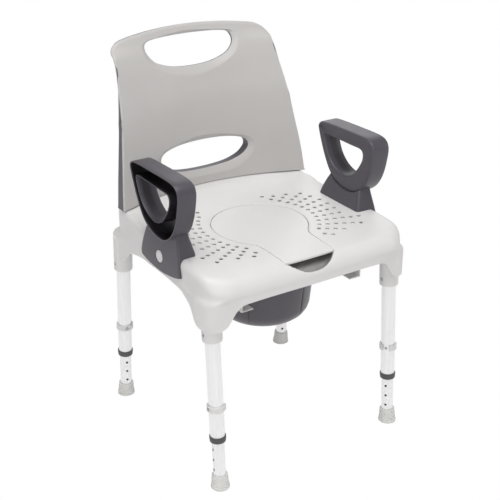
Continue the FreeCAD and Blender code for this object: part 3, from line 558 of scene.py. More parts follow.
def skirtSpot(spot, normal):  # the same place on the corner skirt's broader outline
    side = 1 if spot.x > 0 else -1
    end = 1 if spot.y > 0 else -1
    half, corner = seat["halfWidth"], seat["corner"]
    radius = seat["skirtRadius"]
    centre = Vector((seat["skirtX"] - radius, seat["skirtY"] - radius))
    edge = seat["rear"] if end > 0 else -seat["front"]
    arcY = edge - corner
    arcX = half - corner
    if abs(spot.x) > arcX and abs(spot.y) > arcY:
        return Vector((side * (centre.x + radius * abs(normal.x)),
                       end * (centre.y + radius * abs(normal.y))))
    if abs(normal.x) > 0.9:
        share = smoothStep(abs(spot.y), arcY - 85, arcY - 5)
        slide = (centre.y - arcY) * smoothStep(abs(spot.y), arcY - 90, arcY)
        return Vector((side * mix(half, seat["skirtX"], share), spot.y + end * slide))
    share = smoothStep(abs(spot.x), arcX - 50, arcX)
    slide = (centre.x - arcX) * smoothStep(abs(spot.x), arcX - 100, arcX)
    plainY = edge - (seat["frontDraft"] if end < 0 else 0)
    return Vector((spot.x + side * slide, end * mix(plainY, seat["skirtY"], share)))


def widened(place):  # the sides swell beside the armrests and draw in toward the back
    swell = 6.5 * smoothStep(place.y, -236, -170) * (1 - smoothStep(place.y, 10, 120))
    swell -= 6.5 * smoothStep(place.y, 100, 190)
    reach = smoothStep(abs(place.x), 150, 230)
    side = 1 if place.x > 0 else -1
    return Vector((place.x + side * swell * reach, place.y, place.z))


def lowerEdge(spot, normal):
    byFront = along(seat["frontEdge"], abs(spot.x))
    bySide = along(seat["sideEdge"], spot.y)
    return byFront if abs(normal.y) > abs(normal.x) else bySide


def seatLoops(angles, starts, grow=0.0, topRows=26, wallRows=18, scooped=True):
    outline = seatOutline()
    spots = [rayTo(outline, fanCentre, angle) for angle in angles]
    count = len(spots)
    normals = []
    for i in range(count):
        way = (spots[(i + 1) % count] - spots[i - 1]).normalized()
        normals.append(Vector((way.y, -way.x)))
    for _ in range(2):
        normals = [(normals[i - 1] + normals[i] * 2 + normals[(i + 1) % count]).normalized()
                   for i in range(count)]
    rounds = [edgeRound(n, s.y) for n, s in zip(normals, spots)]
    for _ in range(6):
        rounds = [(rounds[i - 1] + rounds[i] * 2 + rounds[(i + 1) % count]) / 4 for i in range(count)]

    def atRow(share, turn=None):  # across the top, then round its edge
        loop = []
        for start, spot, normal, radius in zip(starts, spots, normals, rounds):
            room = max((spot - start).dot(normal), 0.01)
            first = math.asin(1 - room / radius) if room < radius else 0.0
            angle = first if turn is None else mix(first, math.pi / 2, turn)
            gone = radius * (1 - math.sin(angle)) / room
            place = start.lerp(spot, min(max(1 - gone, 0), 1) * share)
            rounding = radius * (1 - math.cos(angle)) if share == 1 or first else 0
            height = seatHeight(place.x, place.y) - rounding
            if scooped and place.y < cover["front"]:
                height -= scoopDrop(place.x, place.y)
            place = place + normal * grow
            loop.append(widened(Vector((place.x, place.y, height + grow))))
        return loop

    loops = [atRow(row / topRows) for row in range(1, topRows)]
    roundRows = 14
    loops += [atRow(1, step / roundRows) for step in range(roundRows + 1)]
    ends = loops[-1]
    for row in range(1, wallRows + 1):
        loop = []
        for spot, normal, end in zip(spots, normals, ends):
            skirt = skirtSpot(spot, normal)
            low = lowerEdge(skirt, normal)
            height = mix(end.z, low, row / wallRows)
            draft = seat["frontDraft"] * max(-normal.y, 0) ** 2 * smoothStep(end.z - height, 0, 20)
            plain = spot - normal * draft
            share = 1 - smoothStep(height, seat["ledgeFoot"], seat["ledgeTop"])
            place = plain.lerp(skirt, share) + normal * grow
            loop.append(widened(Vector((place.x, place.y, height))))
        loops.append(loop)
    return loops


def holeCentres():
    centres = []
    for place, count, start in seat["holeRows"]:
        angle = math.radians(place * seat["holeFan"])
        first = wayAt(angle) * start + Vector((0, cover["middleY"]))
        way = wayAt(angle * seat["holeLean"])
        for step in range(count):
            spot = first + way * (seat["holePitch"] * step)
            centres += [spot, Vector((-spot.x, spot.y))]
    return centres


def drainHoles():
    return merged([rod(seat["holeRadius"], (x, y, 470), (x, y, 530), 18) for x, y in holeCentres()])


def seatShell():
    angles = seatAngles(300)
    finer = []
    for angle, following in zip(angles, angles[1:] + angles[:1]):
        finer.append(angle)
        if abs(angle + math.pi / 2) < 0.33 and abs(following - angle) < 0.1:
            finer.append((angle + following) / 2)  # closer together at the finger scoop
    angles = finer
    opening = openingLoop(angles)
    coverGap = coverLoop(angles, seat["gap"])
    rim = coverLoop(angles, seat["gap"] + 0.7)

    def scooped(spot):
        return seatTop(spot) - (scoopDrop(spot.x, spot.y) if spot.y < cover["front"] else 0.0)

    def ledge(spot):
        plain = seatTop(spot)
        deep = scoopDrop(spot.x, spot.y) if spot.y < cover["front"] + 36 else 0.0
        return min(plain - seat["ledgeDepth"], plain - deep - 0.6)

    loops = [atHeight(opening, seat["guardBottom"])]
    for below, grow in ((12, 0.0), (1, 0.0), (0, 1.0)):
        loops.append(draped(openingLoop(angles, grow), lambda s: seatTop(s) - seat["ledgeDepth"] - below))
    for share in (0.3, 0.6, 0.8, 0.9, 1.0):
        loops.append(draped([a.lerp(b, share) for a, b in zip(opening, coverGap)], ledge))
    loops.append(draped(coverGap, lambda s: scooped(s) - 0.5))
    loops.append(draped(rim, scooped))
    loops += seatLoops(angles, rim)
    shell = closeUp(skinLoops(loops))
    if sum(f.normal.z for f in shell.faces) < 0:
        bmesh.ops.reverse_faces(shell, faces=shell.faces[:])
    shell = combined(thickened(shell, seat["wall"]), drainHoles(), "DIFFERENCE", True)
    centres = holeCentres()
    tree = KDTree(len(centres))
    for index, centre in enumerate(centres):
        tree.insert((*centre, 0), index)
    tree.balance()

    # painted shade: the finger scoop under the cover's front edge, the ledge and walls under the cover, and
    # the drain holes' walls are marked dark
    def paintedShadeAt(place):
        below = seatTop(place) - place.z
        if below < 1.2 or below > 40:
            return 0.0
        if place.y < cover["front"] - 1.5:
            return min(0.45 + below / 11, 1.0) if scoopDrop(place.x, place.y) > 1 else 0.0
        inCover = math.hypot(place.x, place.y - cover["middleY"]) < cover["radius"] + 2
        inNeck = abs(place.x) < cover["neckHalf"] + 2 and cover["front"] - 1.5 < place.y < 0
        inHole = tree.find((place.x, place.y, 0))[2] < seat["holeRadius"] + 0.3
        return float(inCover or inNeck or inHole)

    return paintedShadeMarked(shell, paintedShadeAt)


seatBody = seatShell()
print("seat shell", len(seatBody.faces))
finished("seat_shell_moulding", seatBody, "seat_plastic", "seat", ("seat_shell",), crease=50)

# cover

def seatCover():
    angles = seatAngles(240)
    full = coverLoop(angles)
    loops = []

    def sheetAt(loop, drop, share=1.0):
        return draped([fanCentre.lerp(spot, share) for spot in loop], lambda s: seatTop(s) - drop)

    loops.append(sheetAt(full, 0, 0.0))
    for share in (0.15, 0.3, 0.45, 0.6, 0.75, 0.88, 0.95):
        loops.append(sheetAt(full, 0, share))
    for inset, drop in ((1.4, 0.0), (0.8, 0.12), (0.3, 0.4), (0.0, 1.0)):
        loops.append(sheetAt(shifted(full, -inset), drop))
    thickness = cover["thickness"]
    loops.append(sheetAt(full, thickness - 0.6))
    loops.append(sheetAt(shifted(full, -0.6), thickness))
    rimOut = openingLoop(angles, -1.5)
    rimIn = openingLoop(angles, -4.5)
    loops.append(sheetAt(rimOut, thickness))
    for outline in (rimOut, rimIn):
        loops.append(atHeight(outline, cover["rimFoot"]))
    loops.append(sheetAt(rimIn, thickness))
    for share in (0.7, 0.4, 0.0):
        loops.append(sheetAt(rimIn, thickness, share))
    return closeUp(skinLoops(loops))


finished("seat_cover_panel", seatCover(), "seat_plastic", "seat_cover", ("seat_cover",), crease=50)
print("cover")

# legs: tubes, feet, bushes, clips and pins

legs = {
    "halfX": 233.0, "halfY": 222.8, "lean": 3.776,
    "corners": {"front_left": (-1, -1, 180.0), "front_right": (1, -1, 33.0),
                "rear_left": (-1, 1, 258.0), "rear_right": (1, 1, 246.0)},
    "socket": 21.5, "socketBottom": 352.0, "socketTop": 439.6, "screwHeight": 368.0, "recess": 4.4,
}
tube = {
    "innerRadius": 13.6, "outerRadius": 16.0, "wall": 1.5, "innerBottom": 8.0, "innerTop": 283.0,
    "outerBottom": 118.0, "outerTop": 436.0, "hole": 3.1, "firstHole": 45.8, "pitch": 25.0, "holes": 10,
    "pinHeight": 195.8,
}
footShape = {
    "profile": [(0, -3), (20.5, -3), (20.5, 3.2), (20.1, 4.6), (19.2, 5.4), (19.5, 6.6), (19.5, 9.2),
                (18.9, 10.4), (18.6, 12), (17.5, 29.5), (17.2, 31.2), (16.6, 32), (14.6, 32),
                (13.65, 31.4), (13.65, 8.05), (0, 8.05)],
}
bush = {
    "profile": [(13.7, 114.2), (16.6, 114.2), (17.3, 115), (17.9, 120), (18.1, 126.6),
                (17.8, 127.7), (17.2, 128),
                (16.05, 128), (16.05, 117.95), (14.45, 117.95), (14.45, 150), (13.7, 150)],
}
clip = {"inner": 16.3, "outer": 19.7, "height": 14.0, "gap": 52.0, "lip": 1.3}


def legMatrix(side, end, turn=0.0):
    lean = math.radians(legs["lean"]) * end
    foot = Matrix.Translation((side * legs["halfX"], end * legs["halfY"], 0))
    return foot @ Matrix.Rotation(lean, 4, "X") @ Matrix.Rotation(math.radians(turn), 4, "Z")


def tubeWithHoles(radius, bottom, top, heights):
    inside = radius - tube["wall"]
    walls = spun([(inside, bottom + 0.4), (inside + 0.4, bottom), (radius - 0.4, bottom),
                  (radius, bottom + 0.4), (radius, top - 0.4), (radius - 0.4, top), (inside + 0.4, top),
                  (inside, top - 0.4)])
    cutters = [rod(tube["hole"], (-30, 0, z), (30, 0, z), 20) for z in heights]
    return combined(walls, merged(cutters), "DIFFERENCE")


def clipRing():
    half, mid, lip = clip["height"] / 2, tube["pinHeight"], clip["lip"]
    inner, outer = clip["inner"], clip["outer"]
    profile = [(inner, mid - half + 0.7), (inner + 0.7, mid - half), (outer - 1.2, mid - half),
               (outer, mid - half + 1.2), (outer, mid + half - 1.2), (outer - 1.2, mid + half),
               (inner + 0.7, mid + half), (inner, mid + half - 0.7)]
    bm = bmesh.new()
    verts = [bm.verts.new((r, 0, z)) for r, z in profile]
    face = bm.faces.new(verts)
    gap = math.radians(clip["gap"])
    bm.transform(Matrix.Rotation(math.pi + gap / 2, 4, "Z"))
    bmesh.ops.spin(bm, geom=verts + face.edges[:] + [face], cent=(0, 0, 0), axis=(0, 0, 1),
                   angle=math.tau - gap, steps=56)
    closeUp(bm)
    for vert in bm.verts:  # the two ends turn out a little, to guide the ring over the tube
        angle = math.atan2(vert.co.y, vert.co.x)
        fromGap = math.degrees(math.pi - abs(angle)) - clip["gap"] / 2
        flare = lip * (1 - smoothStep(fromGap, 0, 20))
        if flare > 0:
            radius = vert.co.xy.length
            vert.co.xy *= (radius + flare) / radius
    return bm


def clipPin():
    out, far = clip["outer"], -tube["outerRadius"]
    pin = spun([(0, out + 1.6), (2.2, out + 1.5), (3.8, out + 1.05), (4.6, out + 0.3), (4.6, out - 0.2),
                (2.75, out - 0.2), (2.75, far - 1.2), (1.9, far - 2.0), (0, far - 2.0)], 28)
    return placed(pin, Matrix.Translation((0, 0, tube["pinHeight"])) @ Matrix.Rotation(math.pi / 2, 4, "Y"))


def footTip(place):  # cut off level with the floor, because the leg leans
    foot = placed(spun(footShape["profile"], 56), place)
    bmesh.ops.bisect_plane(foot, geom=foot.verts[:] + foot.edges[:] + foot.faces[:],
                           plane_co=(0, 0, 0), plane_no=(0, 0, 1), clear_inner=True)
    bmesh.ops.holes_fill(foot, edges=[edge for edge in foot.edges if edge.is_boundary])
    return foot


holeHeights = [tube["firstHole"] + tube["pitch"] * k for k in range(tube["holes"])]
for corner, (side, end, turn) in legs["corners"].items():
    place = legMatrix(side, end, turn)
    inner = tubeWithHoles(tube["innerRadius"], tube["innerBottom"] + 0.1, tube["innerTop"], holeHeights)
    outer = tubeWithHoles(tube["outerRadius"], tube["outerBottom"], tube["outerTop"], [tube["pinHeight"]])
    for node, look, shape, slot, body in (
            ("inner_tube_", "_drawn", placed(inner, place), "leg_aluminium", "leg_" + corner),
            ("outer_tube_", "_drawn", placed(outer, place), "leg_aluminium", "seat"),
            ("foot_", "_tip", footTip(place), "foot_rubber", "leg_" + corner),
            ("collar_", "_bush", placed(spun(bush["profile"]), place), "collar_plastic", "seat"),
            ("clip_ring_", "_snap", placed(clipRing(), place), "clip_plastic", "clip_" + corner),
            ("clip_pin_", "_stud", placed(clipPin(), place), "steel", "clip_" + corner)):
        finished(node + corner + look, shape, slot, body, (node + corner,))
print("legs")

# sockets under the seat, with their screws


def socketCup(side):
    r, bottom, top = legs["socket"], legs["socketBottom"], legs["socketTop"]
    inside = tube["outerRadius"] + 0.1
    roof = tube["outerTop"] + 0.3
    cup = spun([(inside, bottom + 0.8), (inside + 0.8, bottom), (r - 1.4, bottom), (r - 0.3, bottom + 0.6),
                (r, bottom + 1.8), (r, top), (0, top), (0, roof), (inside, roof)])
    height = legs["screwHeight"]
    recesses = merged([rod(legs["recess"], (side * (r - 4), 0, height), (side * (r + 5), 0, height), 24),
                       rod(5.0, (-side * (r - 4), 0, height), (-side * (r + 5), 0, height), 6)])
    return combined(cup, recesses, "DIFFERENCE")


def socketScrew(side):
    r, height = legs["socket"], legs["screwHeight"]
    screw = spun([(0, r - 2.2), (2.6, r - 2.4), (3.9, r - 3.2), (4.0, r - 3.9), (2.4, r - 3.9),
                  (2.4, -r + 1.0), (0, -r + 1.0)], 24)
    slotTool = block((-0.6, -2.6, r - 3.4), (0.6, 2.6, r))
    screw = combined(screw, slotTool, "DIFFERENCE")
    return placed(screw, Matrix.Translation((0, 0, height)) @ Matrix.Rotation(side * math.pi / 2, 4, "Y"))


def socketNut(side):
    r, height = legs["socket"], legs["screwHeight"]
    nut = rod(4.6, (-side * (r - 3.9), 0, height), (-side * (r - 0.2), 0, height), 6)
    return bevelled(nut, nut.edges[:], 0.35)


screws = []
nuts = []
for corner, (side, end, _) in legs["corners"].items():
    place = legMatrix(side, end)
    finished("socket_" + corner + "_cup", placed(socketCup(side), place), "seat_plastic", "seat")
    screws.append(placed(socketScrew(side), place))
    nuts.append(placed(socketNut(side), place))
finished("socket_screw_set", merged(screws), "steel", "seat", ("socket_screws",))
finished("socket_nut_set", merged(nuts), "steel", "seat", ("socket_nuts",))
print("sockets")

# bucket and rails

bucketShape = {
    "middleY": -35.0, "flangeBottom": 389.3, "flangeTop": 392.9, "wall": 2.6,
    "outside": [(0, 280), (70, 280), (80, 281), (89, 284.5), (98, 292), (104.5, 302), (107.5, 312),
                (115.5, 389.3)],
    "flangeX": 150.0, "flangeY": 124.0, "flangeCorner": 40.0,
    "creases": (-140.0, -71.0), "creaseDepth": 1.8,
    "creaseWidth": 1.5, "creaseFoot": 300.0,
}


def bucketPot():
    count = 288
    angles = [math.tau * k / count for k in range(count)]
    middle = Vector((0, bucketShape["middleY"]))
    outside, wall = bucketShape["outside"], bucketShape["wall"]
    (kneeRadius, kneeHeight), (rimRadius, rimHeight) = outside[-2:]
    bottom, top = bucketShape["flangeBottom"], bucketShape["flangeTop"]
    halfY = bucketShape["flangeY"]
    square = roundedBox(bucketShape["flangeX"], -halfY, halfY, bucketShape["flangeCorner"], 12)

    def turned(radius, height, grooved=False):
        loop = []
        for angle in angles:
            reach = radius
            if grooved:
                for crease in bucketShape["creases"]:
                    apart = math.degrees(abs(math.remainder(angle - math.radians(crease), math.tau)))
                    within = 1 - smoothStep(apart, 0.4, bucketShape["creaseWidth"])
                    reach -= bucketShape["creaseDepth"] * within
            loop.append(Vector((middle.x + reach * math.cos(angle), middle.y + reach * math.sin(angle),
                                height)))
        return loop

    def flange(inset, height):
        loop = shifted([rayTo(square, Vector((0, 0)), angle) for angle in angles], -inset)
        return [Vector((s.x, s.y + middle.y, height)) for s in loop]

    loops = [turned(r, z, z > bucketShape["creaseFoot"]) for r, z in outside[:-1]]
    for share in (0.25, 0.5, 0.75, 0.95):
        loops.append(turned(mix(kneeRadius, rimRadius, share), mix(kneeHeight, rimHeight, share), True))
    loops += [turned(rimRadius + 0.2, bottom), flange(0.8, bottom), flange(0, bottom + 0.8),
              flange(0, top - 0.8), flange(0.8, top)]
    loops += [turned(rimRadius - wall + 1.0, top), turned(rimRadius - wall, top - 1.0)]
    for r, z in reversed(outside[:-1]):
        loops.append(turned(max(r - wall, 0), z + wall))

    # painted shade: the creases' grooves are marked dark, beyond what their own shading gives
    def creasePaintedShade(place):
        way = place.xy - middle
        fromCrease = min(abs(math.remainder(math.atan2(way.y, way.x) - math.radians(crease), math.tau))
                         for crease in bucketShape["creases"])
        return float(math.degrees(fromCrease) < 1.0 and bucketShape["creaseFoot"] < place.z < bottom)

    return paintedShadeMarked(closeUp(skinLoops(loops)), creasePaintedShade)


finished("bucket_pot", bucketPot(), "bucket_plastic", "bucket", ("bucket",), crease=42)


def bevelledCopy(name, offset):  # a copy of a CAD piece with its edges broken
    bm = bmesh.new()
    bm.from_mesh(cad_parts[name].data)
    bm.transform(fromFrame)
    bmesh.ops.remove_doubles(bm, verts=bm.verts[:], dist=0.01)
    bmesh.ops.dissolve_limit(bm, angle_limit=math.radians(1), verts=bm.verts[:], edges=bm.edges[:])
    sharp = [edge for edge in bm.edges
             if len(edge.link_faces) == 2 and edge.calc_face_angle(0) > math.radians(30)]
    return bevelled(bm, sharp, offset, True)


for side in ("left", "right"):
    finished("rail_" + side + "_run", bevelledCopy("rail_" + side, 0.5), "rail_plastic", "seat",
             ("rail_" + side,))
finished("rail_screw_set", bevelledCopy("rail_screws", 0.3), "steel", "seat", ("rail_screws",))
print("bucket and rails")

# backrest: a light front shell and a dark rear shell, each with two openings

back = {
    "bottom": 512.9, "split": 700.0, "frontWall": 3.2, "rearDepth": 13.6, "rearWall": 2.6,
    "half": [(512, 247.5), (572, 241.3), (622, 234.4), (667, 228), (708, 222.3), (744, 217.5), (777, 212.8),
             (806, 209), (823, 207.4), (892, 205)],
    "edgeY": [(512, 148), (560, 155), (600, 162), (640, 171), (680, 180), (720, 191), (760, 207),
              (800, 224),
              (820, 234), (840, 246), (865, 259), (892, 267)],
    "bow": [(512, 9.6e-4), (600, 9.6e-4), (640, 9.3e-4), (720, 8.7e-4), (800, 8.1e-4), (840, 7.9e-4),
            (892, 7.8e-4)],
    "rearEdge": [(512, 181), (575, 186.5), (640, 195), (685, 201), (730, 209.5), (775, 219),
                 (803, 229), (816, 236),
                 (829, 247), (841, 265), (850, 272), (862, 280), (892, 288)],
    "crown": [(207.4, 823), (206.6, 834), (203.8, 843), (195.5, 852), (180, 859.6), (158, 863.8),
              (120, 868),
              (85, 870.8), (48, 872.7), (0, 873.6)],
    "ear": 13.0,
    "handle": [(0, 784.5), (50, 788.5), (88, 801), (105.5, 814.5), (114, 828.5), (113.8, 840),
               (106, 847.7), (88, 851),
               (57, 852.7), (0, 853.6)],
    "handleCentre": (0, 822), "handleBand": 20.0, "handleDish": 10.0,
    "lumbar": [(0, 545.5), (37, 547), (71, 552), (99, 563), (114.5, 577), (118.5, 588), (115, 598),
               (104, 605.5),
               (80, 611.5), (45, 615), (0, 616)],
    "lumbarCentre": (0, 583), "lumbarBand": 30.0, "lumbarDish": 10.0, "lumbarBulge": 12.0,
    "edgeRound": 4.5, "topRound": 6.0, "rearRound": 2.4,
}


def backFront(x, z):
    half = along(back["half"], z)
    bow = along(back["bow"], z)
    ear = back["ear"] * smoothStep(z, 828, 850) * min(abs(x) / 205, 1.0) ** 4
    return along(back["edgeY"], z) + bow * (half * half - x * x) + ear


def backRear(x, z):
    half = along(back["half"], z)
    bulge = back["lumbarBulge"] * (1 - smoothStep(abs(z - 583), 45, 90))
    middle = backFront(0, z) + back["rearDepth"]
    edge = along(back["rearEdge"], z)
    share = min(abs(x) / half, 1.0)
    return middle + (edge - middle) * share ** 2 + bulge * (1 - smoothStep(abs(x), 110, 180))


def backOutline(upper):  # the backrest's outline above or below the split, counter-clockwise
    split, count, sideCount = back["split"], 72, 30
    halfSplit = along(back["half"], split)
    level = [Vector((mix(-halfSplit, halfSplit, k / count), split)) for k in range(count)]
    if upper:
        top = back["crown"][0][1]
        heights = [mix(split, top, k / sideCount) for k in range(sideCount)]
        rise = [Vector((along(back["half"], z), z)) for z in heights]
        crown = curveThrough(back["crown"] + [(-x, z) for x, z in reversed(back["crown"][:-1])], 8, False)
        path = rise + crown + [Vector((-spot.x, spot.y)) for spot in reversed(rise)]
        return level + spreadAlong(path, 220, False)[:-1]
    heights = [mix(split, back["bottom"], k / sideCount) for k in range(sideCount + 1)]
    drop = [Vector((along(back["half"], z), z)) for z in heights]
    path = drop + [Vector((-spot.x, spot.y)) for spot in reversed(drop)]
    return level + spreadAlong(path, 200, False)[:-1]


def borderShare(spot):  # 0 on the line where the two halves join
    return smoothStep(abs(spot.y - back["split"]), 0, 18)


def backHalf(upper, front):
    outline = backOutline(upper)
    name = "handle" if upper else "lumbar"
    centre = Vector(back[name + "Centre"])
    hole = curveThrough(mirrored(back[name]))
    halfSplit = along(back["half"], back["split"])
    joins = [abs(spot.y - back["split"]) < 1e-6 and abs(spot.x) < halfSplit - 0.01 for spot in outline]
    if not front:  # the rear shell stands a hair inside the front one's edge
        outline = [spot if join else Vector((spot.x * 0.998, spot.y - 0.9 * smoothStep(spot.y, 815, 850)))
                   for spot, join in zip(outline, joins)]
    angles = [math.atan2(*(spot - centre).yx) for spot in outline]
    inner = [rayTo(hole, centre, angle) for angle in angles]
    band, dish = back[name + "Band"], back[name + "Dish"]
    count = len(outline)
    loops = []

    def surface(spot, push=0.0):
        y = backFront(spot.x, spot.y) if front else backRear(spot.x, spot.y)
        return Vector((spot.x, y + push, spot.y))

    def widthHere(i):
        room = (outline[i] - inner[i]).length
        toward = (inner[i] - centre).normalized()
        lower = smoothStep(-toward.y, -0.35, 0.5) if upper else smoothStep(-toward.y, -0.2, 0.6)
        return min(band * mix(0.42, 1.0, lower), room * 0.45), mix(0.6, 1.0, lower)

    dishing = [widthHere(i) for i in range(count)]
    rimRows = ((0.0, 0.0), (0.1, 0.0), (0.4, 0.0), (1.0, 0.0))
    if front:
        rimRows = ((0.0, 1.0), (0.04, 0.9), (0.1, 0.8), (0.25, 0.62), (0.45, 0.42), (0.65, 0.23),
                   (0.82, 0.09), (0.93, 0.02), (1.0, 0.0))
    for reach, depth in rimRows:
        loop = []
        for i in range(count):
            way = (outline[i] - inner[i]).normalized()
            width, strength = dishing[i]
            loop.append(surface(inner[i] + way * (width * reach), dish * depth * strength))
        loops.append(loop)

    def roundHere(spot):
        if not front:
            return back["rearRound"] * borderShare(spot)
        return mix(back["edgeRound"], back["topRound"], smoothStep(spot.y, 815, 850)) * borderShare(spot)

    borderWidth = [roundHere(spot) for spot in outline]
    for _ in range(8):
        borderWidth = [(borderWidth[i - 1] + 2 * borderWidth[i] + borderWidth[(i + 1) % count]) / 4
                       if borderShare(outline[i]) > 0 else 0.0 for i in range(count)]
    if not upper:
        borderWidth = [min(width, 0.5) if spot.y < back["bottom"] + 1 else width
                       for width, spot in zip(borderWidth, outline)]
    inset = []
    for i in range(count):
        way = (outline[(i + 1) % count] - outline[i - 1]).normalized() * (1 if upper else -1)
        inset.append(Vector((-way.y, way.x)))
    rows = 22
    for row in range(1, rows + 1):
        loop = []
        for i in range(count):
            way = (outline[i] - inner[i]).normalized()
            start = inner[i] + way * dishing[i][0]
            end = outline[i] + inset[i] * borderWidth[i]
            loop.append(surface(start.lerp(end, row / rows)))
        loops.append(loop)
    push = 1 if front else -1
    for step in range(1, 6):
        turn = math.pi / 2 * step / 5
        loop = []
        for i in range(count):
            width = borderWidth[i]
            spot = outline[i] + inset[i] * width * (1 - math.sin(turn))
            loop.append(surface(spot, push * width * (1 - math.cos(turn))))
        loops.append(loop)
    if front:
        return openedAtSplit(skinLoops(loops))
    edge = loops[-1]
    for share in (0.5, 1.0):  # the rear shell's side walls run forward to the front shell
        loop = []
        for i in range(count):
            last = edge[i]
            rounded = mix(back["edgeRound"], back["topRound"], smoothStep(outline[i].y, 815, 850))
            meet = backFront(outline[i].x, outline[i].y) + rounded + 0.7
            y = mix(last.y, min(meet, last.y), 0.0 if joins[i] else share)
            loop.append(Vector((outline[i].x, y, outline[i].y)))
        loops.append(loop)
    rim = []
    for depth in (0.5, 1.0):  # and its openings' walls run forward too
        loop = []
        for i in range(count):
            forward = backFront(inner[i].x, inner[i].y) + dish * dishing[i][1] + 0.8
            behind = backRear(inner[i].x, inner[i].y)
            y = mix(behind, min(forward, behind - 1.0), depth)
            loop.append(Vector((inner[i].x, y, inner[i].y)))
        rim.insert(0, loop)
    return openedAtSplit(skinLoops(rim + loops))


def openedAtSplit(bm):  # no faces between the two halves
    flat = [f for f in bm.faces if all(abs(v.co.z - back["split"]) < 1e-4 for v in f.verts)]
    bmesh.ops.delete(bm, geom=flat, context="FACES")
    return bm


def backShell(front):
    shell = merged([backHalf(True, front), backHalf(False, front)])
    closeUp(shell, 0.01)
    towards = sum(f.normal.y * f.calc_area() for f in shell.faces)
    if (towards > 0) == front:
        bmesh.ops.reverse_faces(shell, faces=shell.faces[:])
    return thickened(shell, back["frontWall"] if front else back["rearWall"])


finished("backrest_front_moulding", backShell(True), "back_plastic", "backrest",
         ("backrest_front_shell",), crease=45)
finished("backrest_rear_moulding", backShell(False), "back_rear_plastic", "backrest",
         ("backrest_rear_shell",), crease=45)
finished("backrest_screw_set", bevelledCopy("backrest_screws", 0.3), "steel", "backrest",
         ("backrest_screws",))
print("backrest")

# armrests

arm = {
    "inner": 222.0, "outer": 267.0, "round": 6.0, "lip": 2.6, "channelFloor": 236.0, "crisp": 0.9,
    "centre": (-30, 612),
    "ring": [(69, 650), (67.5, 659), (60, 665), (45, 667.5), (12, 669), (-36, 670), (-80, 670.5),
             (-106, 669.5),
             (-122, 665), (-131, 656), (-134, 642), (-130.5, 618), (-124, 592), (-113, 567),
             (-96, 546), (-74, 532),
             (-51, 528), (-21, 531.5), (3, 541), (21, 555), (36, 576), (49, 600), (60, 625)],
    "finger": [(44, 632), (41, 638), (35, 640), (-3, 639.5), (-58, 639), (-86, 638.5), (-95, 632),
               (-95, 619),
               (-89, 606), (-79, 591), (-64, 574), (-47, 564), (-30, 561), (-11, 565), (8, 574.5),
               (25, 590),
               (36, 609)],
    "base": [  # height, outer front, inner front, rear, inner face, outer face
        (600, -88, -84, 4, 225, 252), (565, -94, -88, 12, 223.5, 252), (548, -98, -92, 20, 221.5, 252.8),
        (535, -101, -95, 28, 218.5, 254), (520, -106, -98.5, 35, 215, 256),
        (505, -111, -102.5, 40, 211.5, 258),
        (495, -114, -104, 43, 210, 259.2), (482, -117, -105, 46.5, 209, 260.6),
        (468, -119.5, -106, 49, 209, 261.4),
        (446, -120, -106, 48, 209, 261.4)],
    "underside": [(-120, 463), (-99, 456.5), (-74, 452), (-44, 448.5), (-10, 449.5), (21, 453), (47, 460)],
    "capX": 258.0, "capY": -32.0, "capZ": 479.5, "recessRadius": 14.6,
    "cap": [(0, 2.3), (9, 2.15), (12.2, 1.6), (13.4, 0.8), (13.8, 0), (13.8, -0.6), (0, -0.6)],
    "tongue": ((228.8, -89.7, 456), (238.2, -10.3, 520)),
}
quarter = [math.pi / 2 * step / 6 for step in range(1, 7)]  # the turns of a rounded edge


def armRing():
    centre = Vector(arm["centre"])
    ring = curveThrough(arm["ring"])
    finger = curveThrough(arm["finger"])
    angles = sorted(math.atan2(*(s - centre).yx) for s in spreadAlong(ring, 90) + spreadAlong(finger, 70))
    outer = [rayTo(ring, centre, angle) for angle in angles]
    inner = [rayTo(finger, centre, angle) for angle in angles]
    rounding, lip, crisp = arm["round"], arm["lip"], arm["crisp"]
    low, high = arm["inner"], arm["outer"]

    def at(loop, offset, x):
        return [Vector((x, s.x, s.y)) for s in shifted(loop, offset)]

    def between(share, offset, x):
        a, b = shifted(inner, offset), shifted(outer, -offset)
        return [Vector((x, s.x, s.y)) for s in (p.lerp(q, share) for p, q in zip(a, b))]

    loops = [between(share, rounding, low) for share in (0, 0.33, 0.66, 1)]
    for turn in quarter:
        loops.append(at(outer, -rounding * (1 - math.sin(turn)), low + rounding * (1 - math.cos(turn))))
    loops += [at(outer, 0, mix(low + rounding, high - crisp, share)) for share in (0.33, 0.66, 1)]
    floor = arm["channelFloor"]
    loops += [at(outer, -crisp * 0.3, high - crisp * 0.3), at(outer, -crisp, high),
              at(outer, -lip + 0.8, high), at(outer, -lip, high - 0.8), at(outer, -lip - 0.1, high - 3),
              at(outer, -lip - 0.5, floor)]
    loops += [between(share, lip + 0.5, floor) for share in (0.66, 0.33)]
    loops += [at(inner, lip + 0.5, floor), at(inner, lip - 0.8, high - 3.4),
              at(inner, lip - 1, high - 1.2), at(inner, lip - 1.6, high - 0.6),
              at(inner, crisp * 0.7, high - 0.6), at(inner, 0, high - 0.6 - crisp)]
    loops += [at(inner, 0, mix(high - crisp - 0.6, low + rounding, share)) for share in (0.33, 0.66, 1)]
    for turn in quarter:
        loops.append(at(inner, rounding * (1 - math.cos(turn)), low + rounding * (1 - math.sin(turn))))
    return closeUp(skinLoops(loops)), outer


def ringPaintedShade():  # painted shade: the channel is darkest, the opening's wall half as dark
    finger, ring = curveThrough(arm["finger"], 4), curveThrough(arm["ring"], 4)
    centre = Vector(arm["centre"])

    def paintedShadeAt(place):
        way = Vector((place.y, place.z)) - centre
        angle = math.atan2(way.y, way.x)
        fromFinger = way.length - (rayTo(finger, centre, angle) - centre).length
        fromRing = (rayTo(ring, centre, angle) - centre).length - way.length
        if fromFinger > 1.3 and fromRing > 2.2 and arm["inner"] + 8 < place.x < arm["outer"] - 2.9:
            return 1.0
        return 0.75 if fromFinger < 0.4 and arm["inner"] + 6 < place.x < arm["outer"] - 3 else 0.0

    return paintedShadeAt


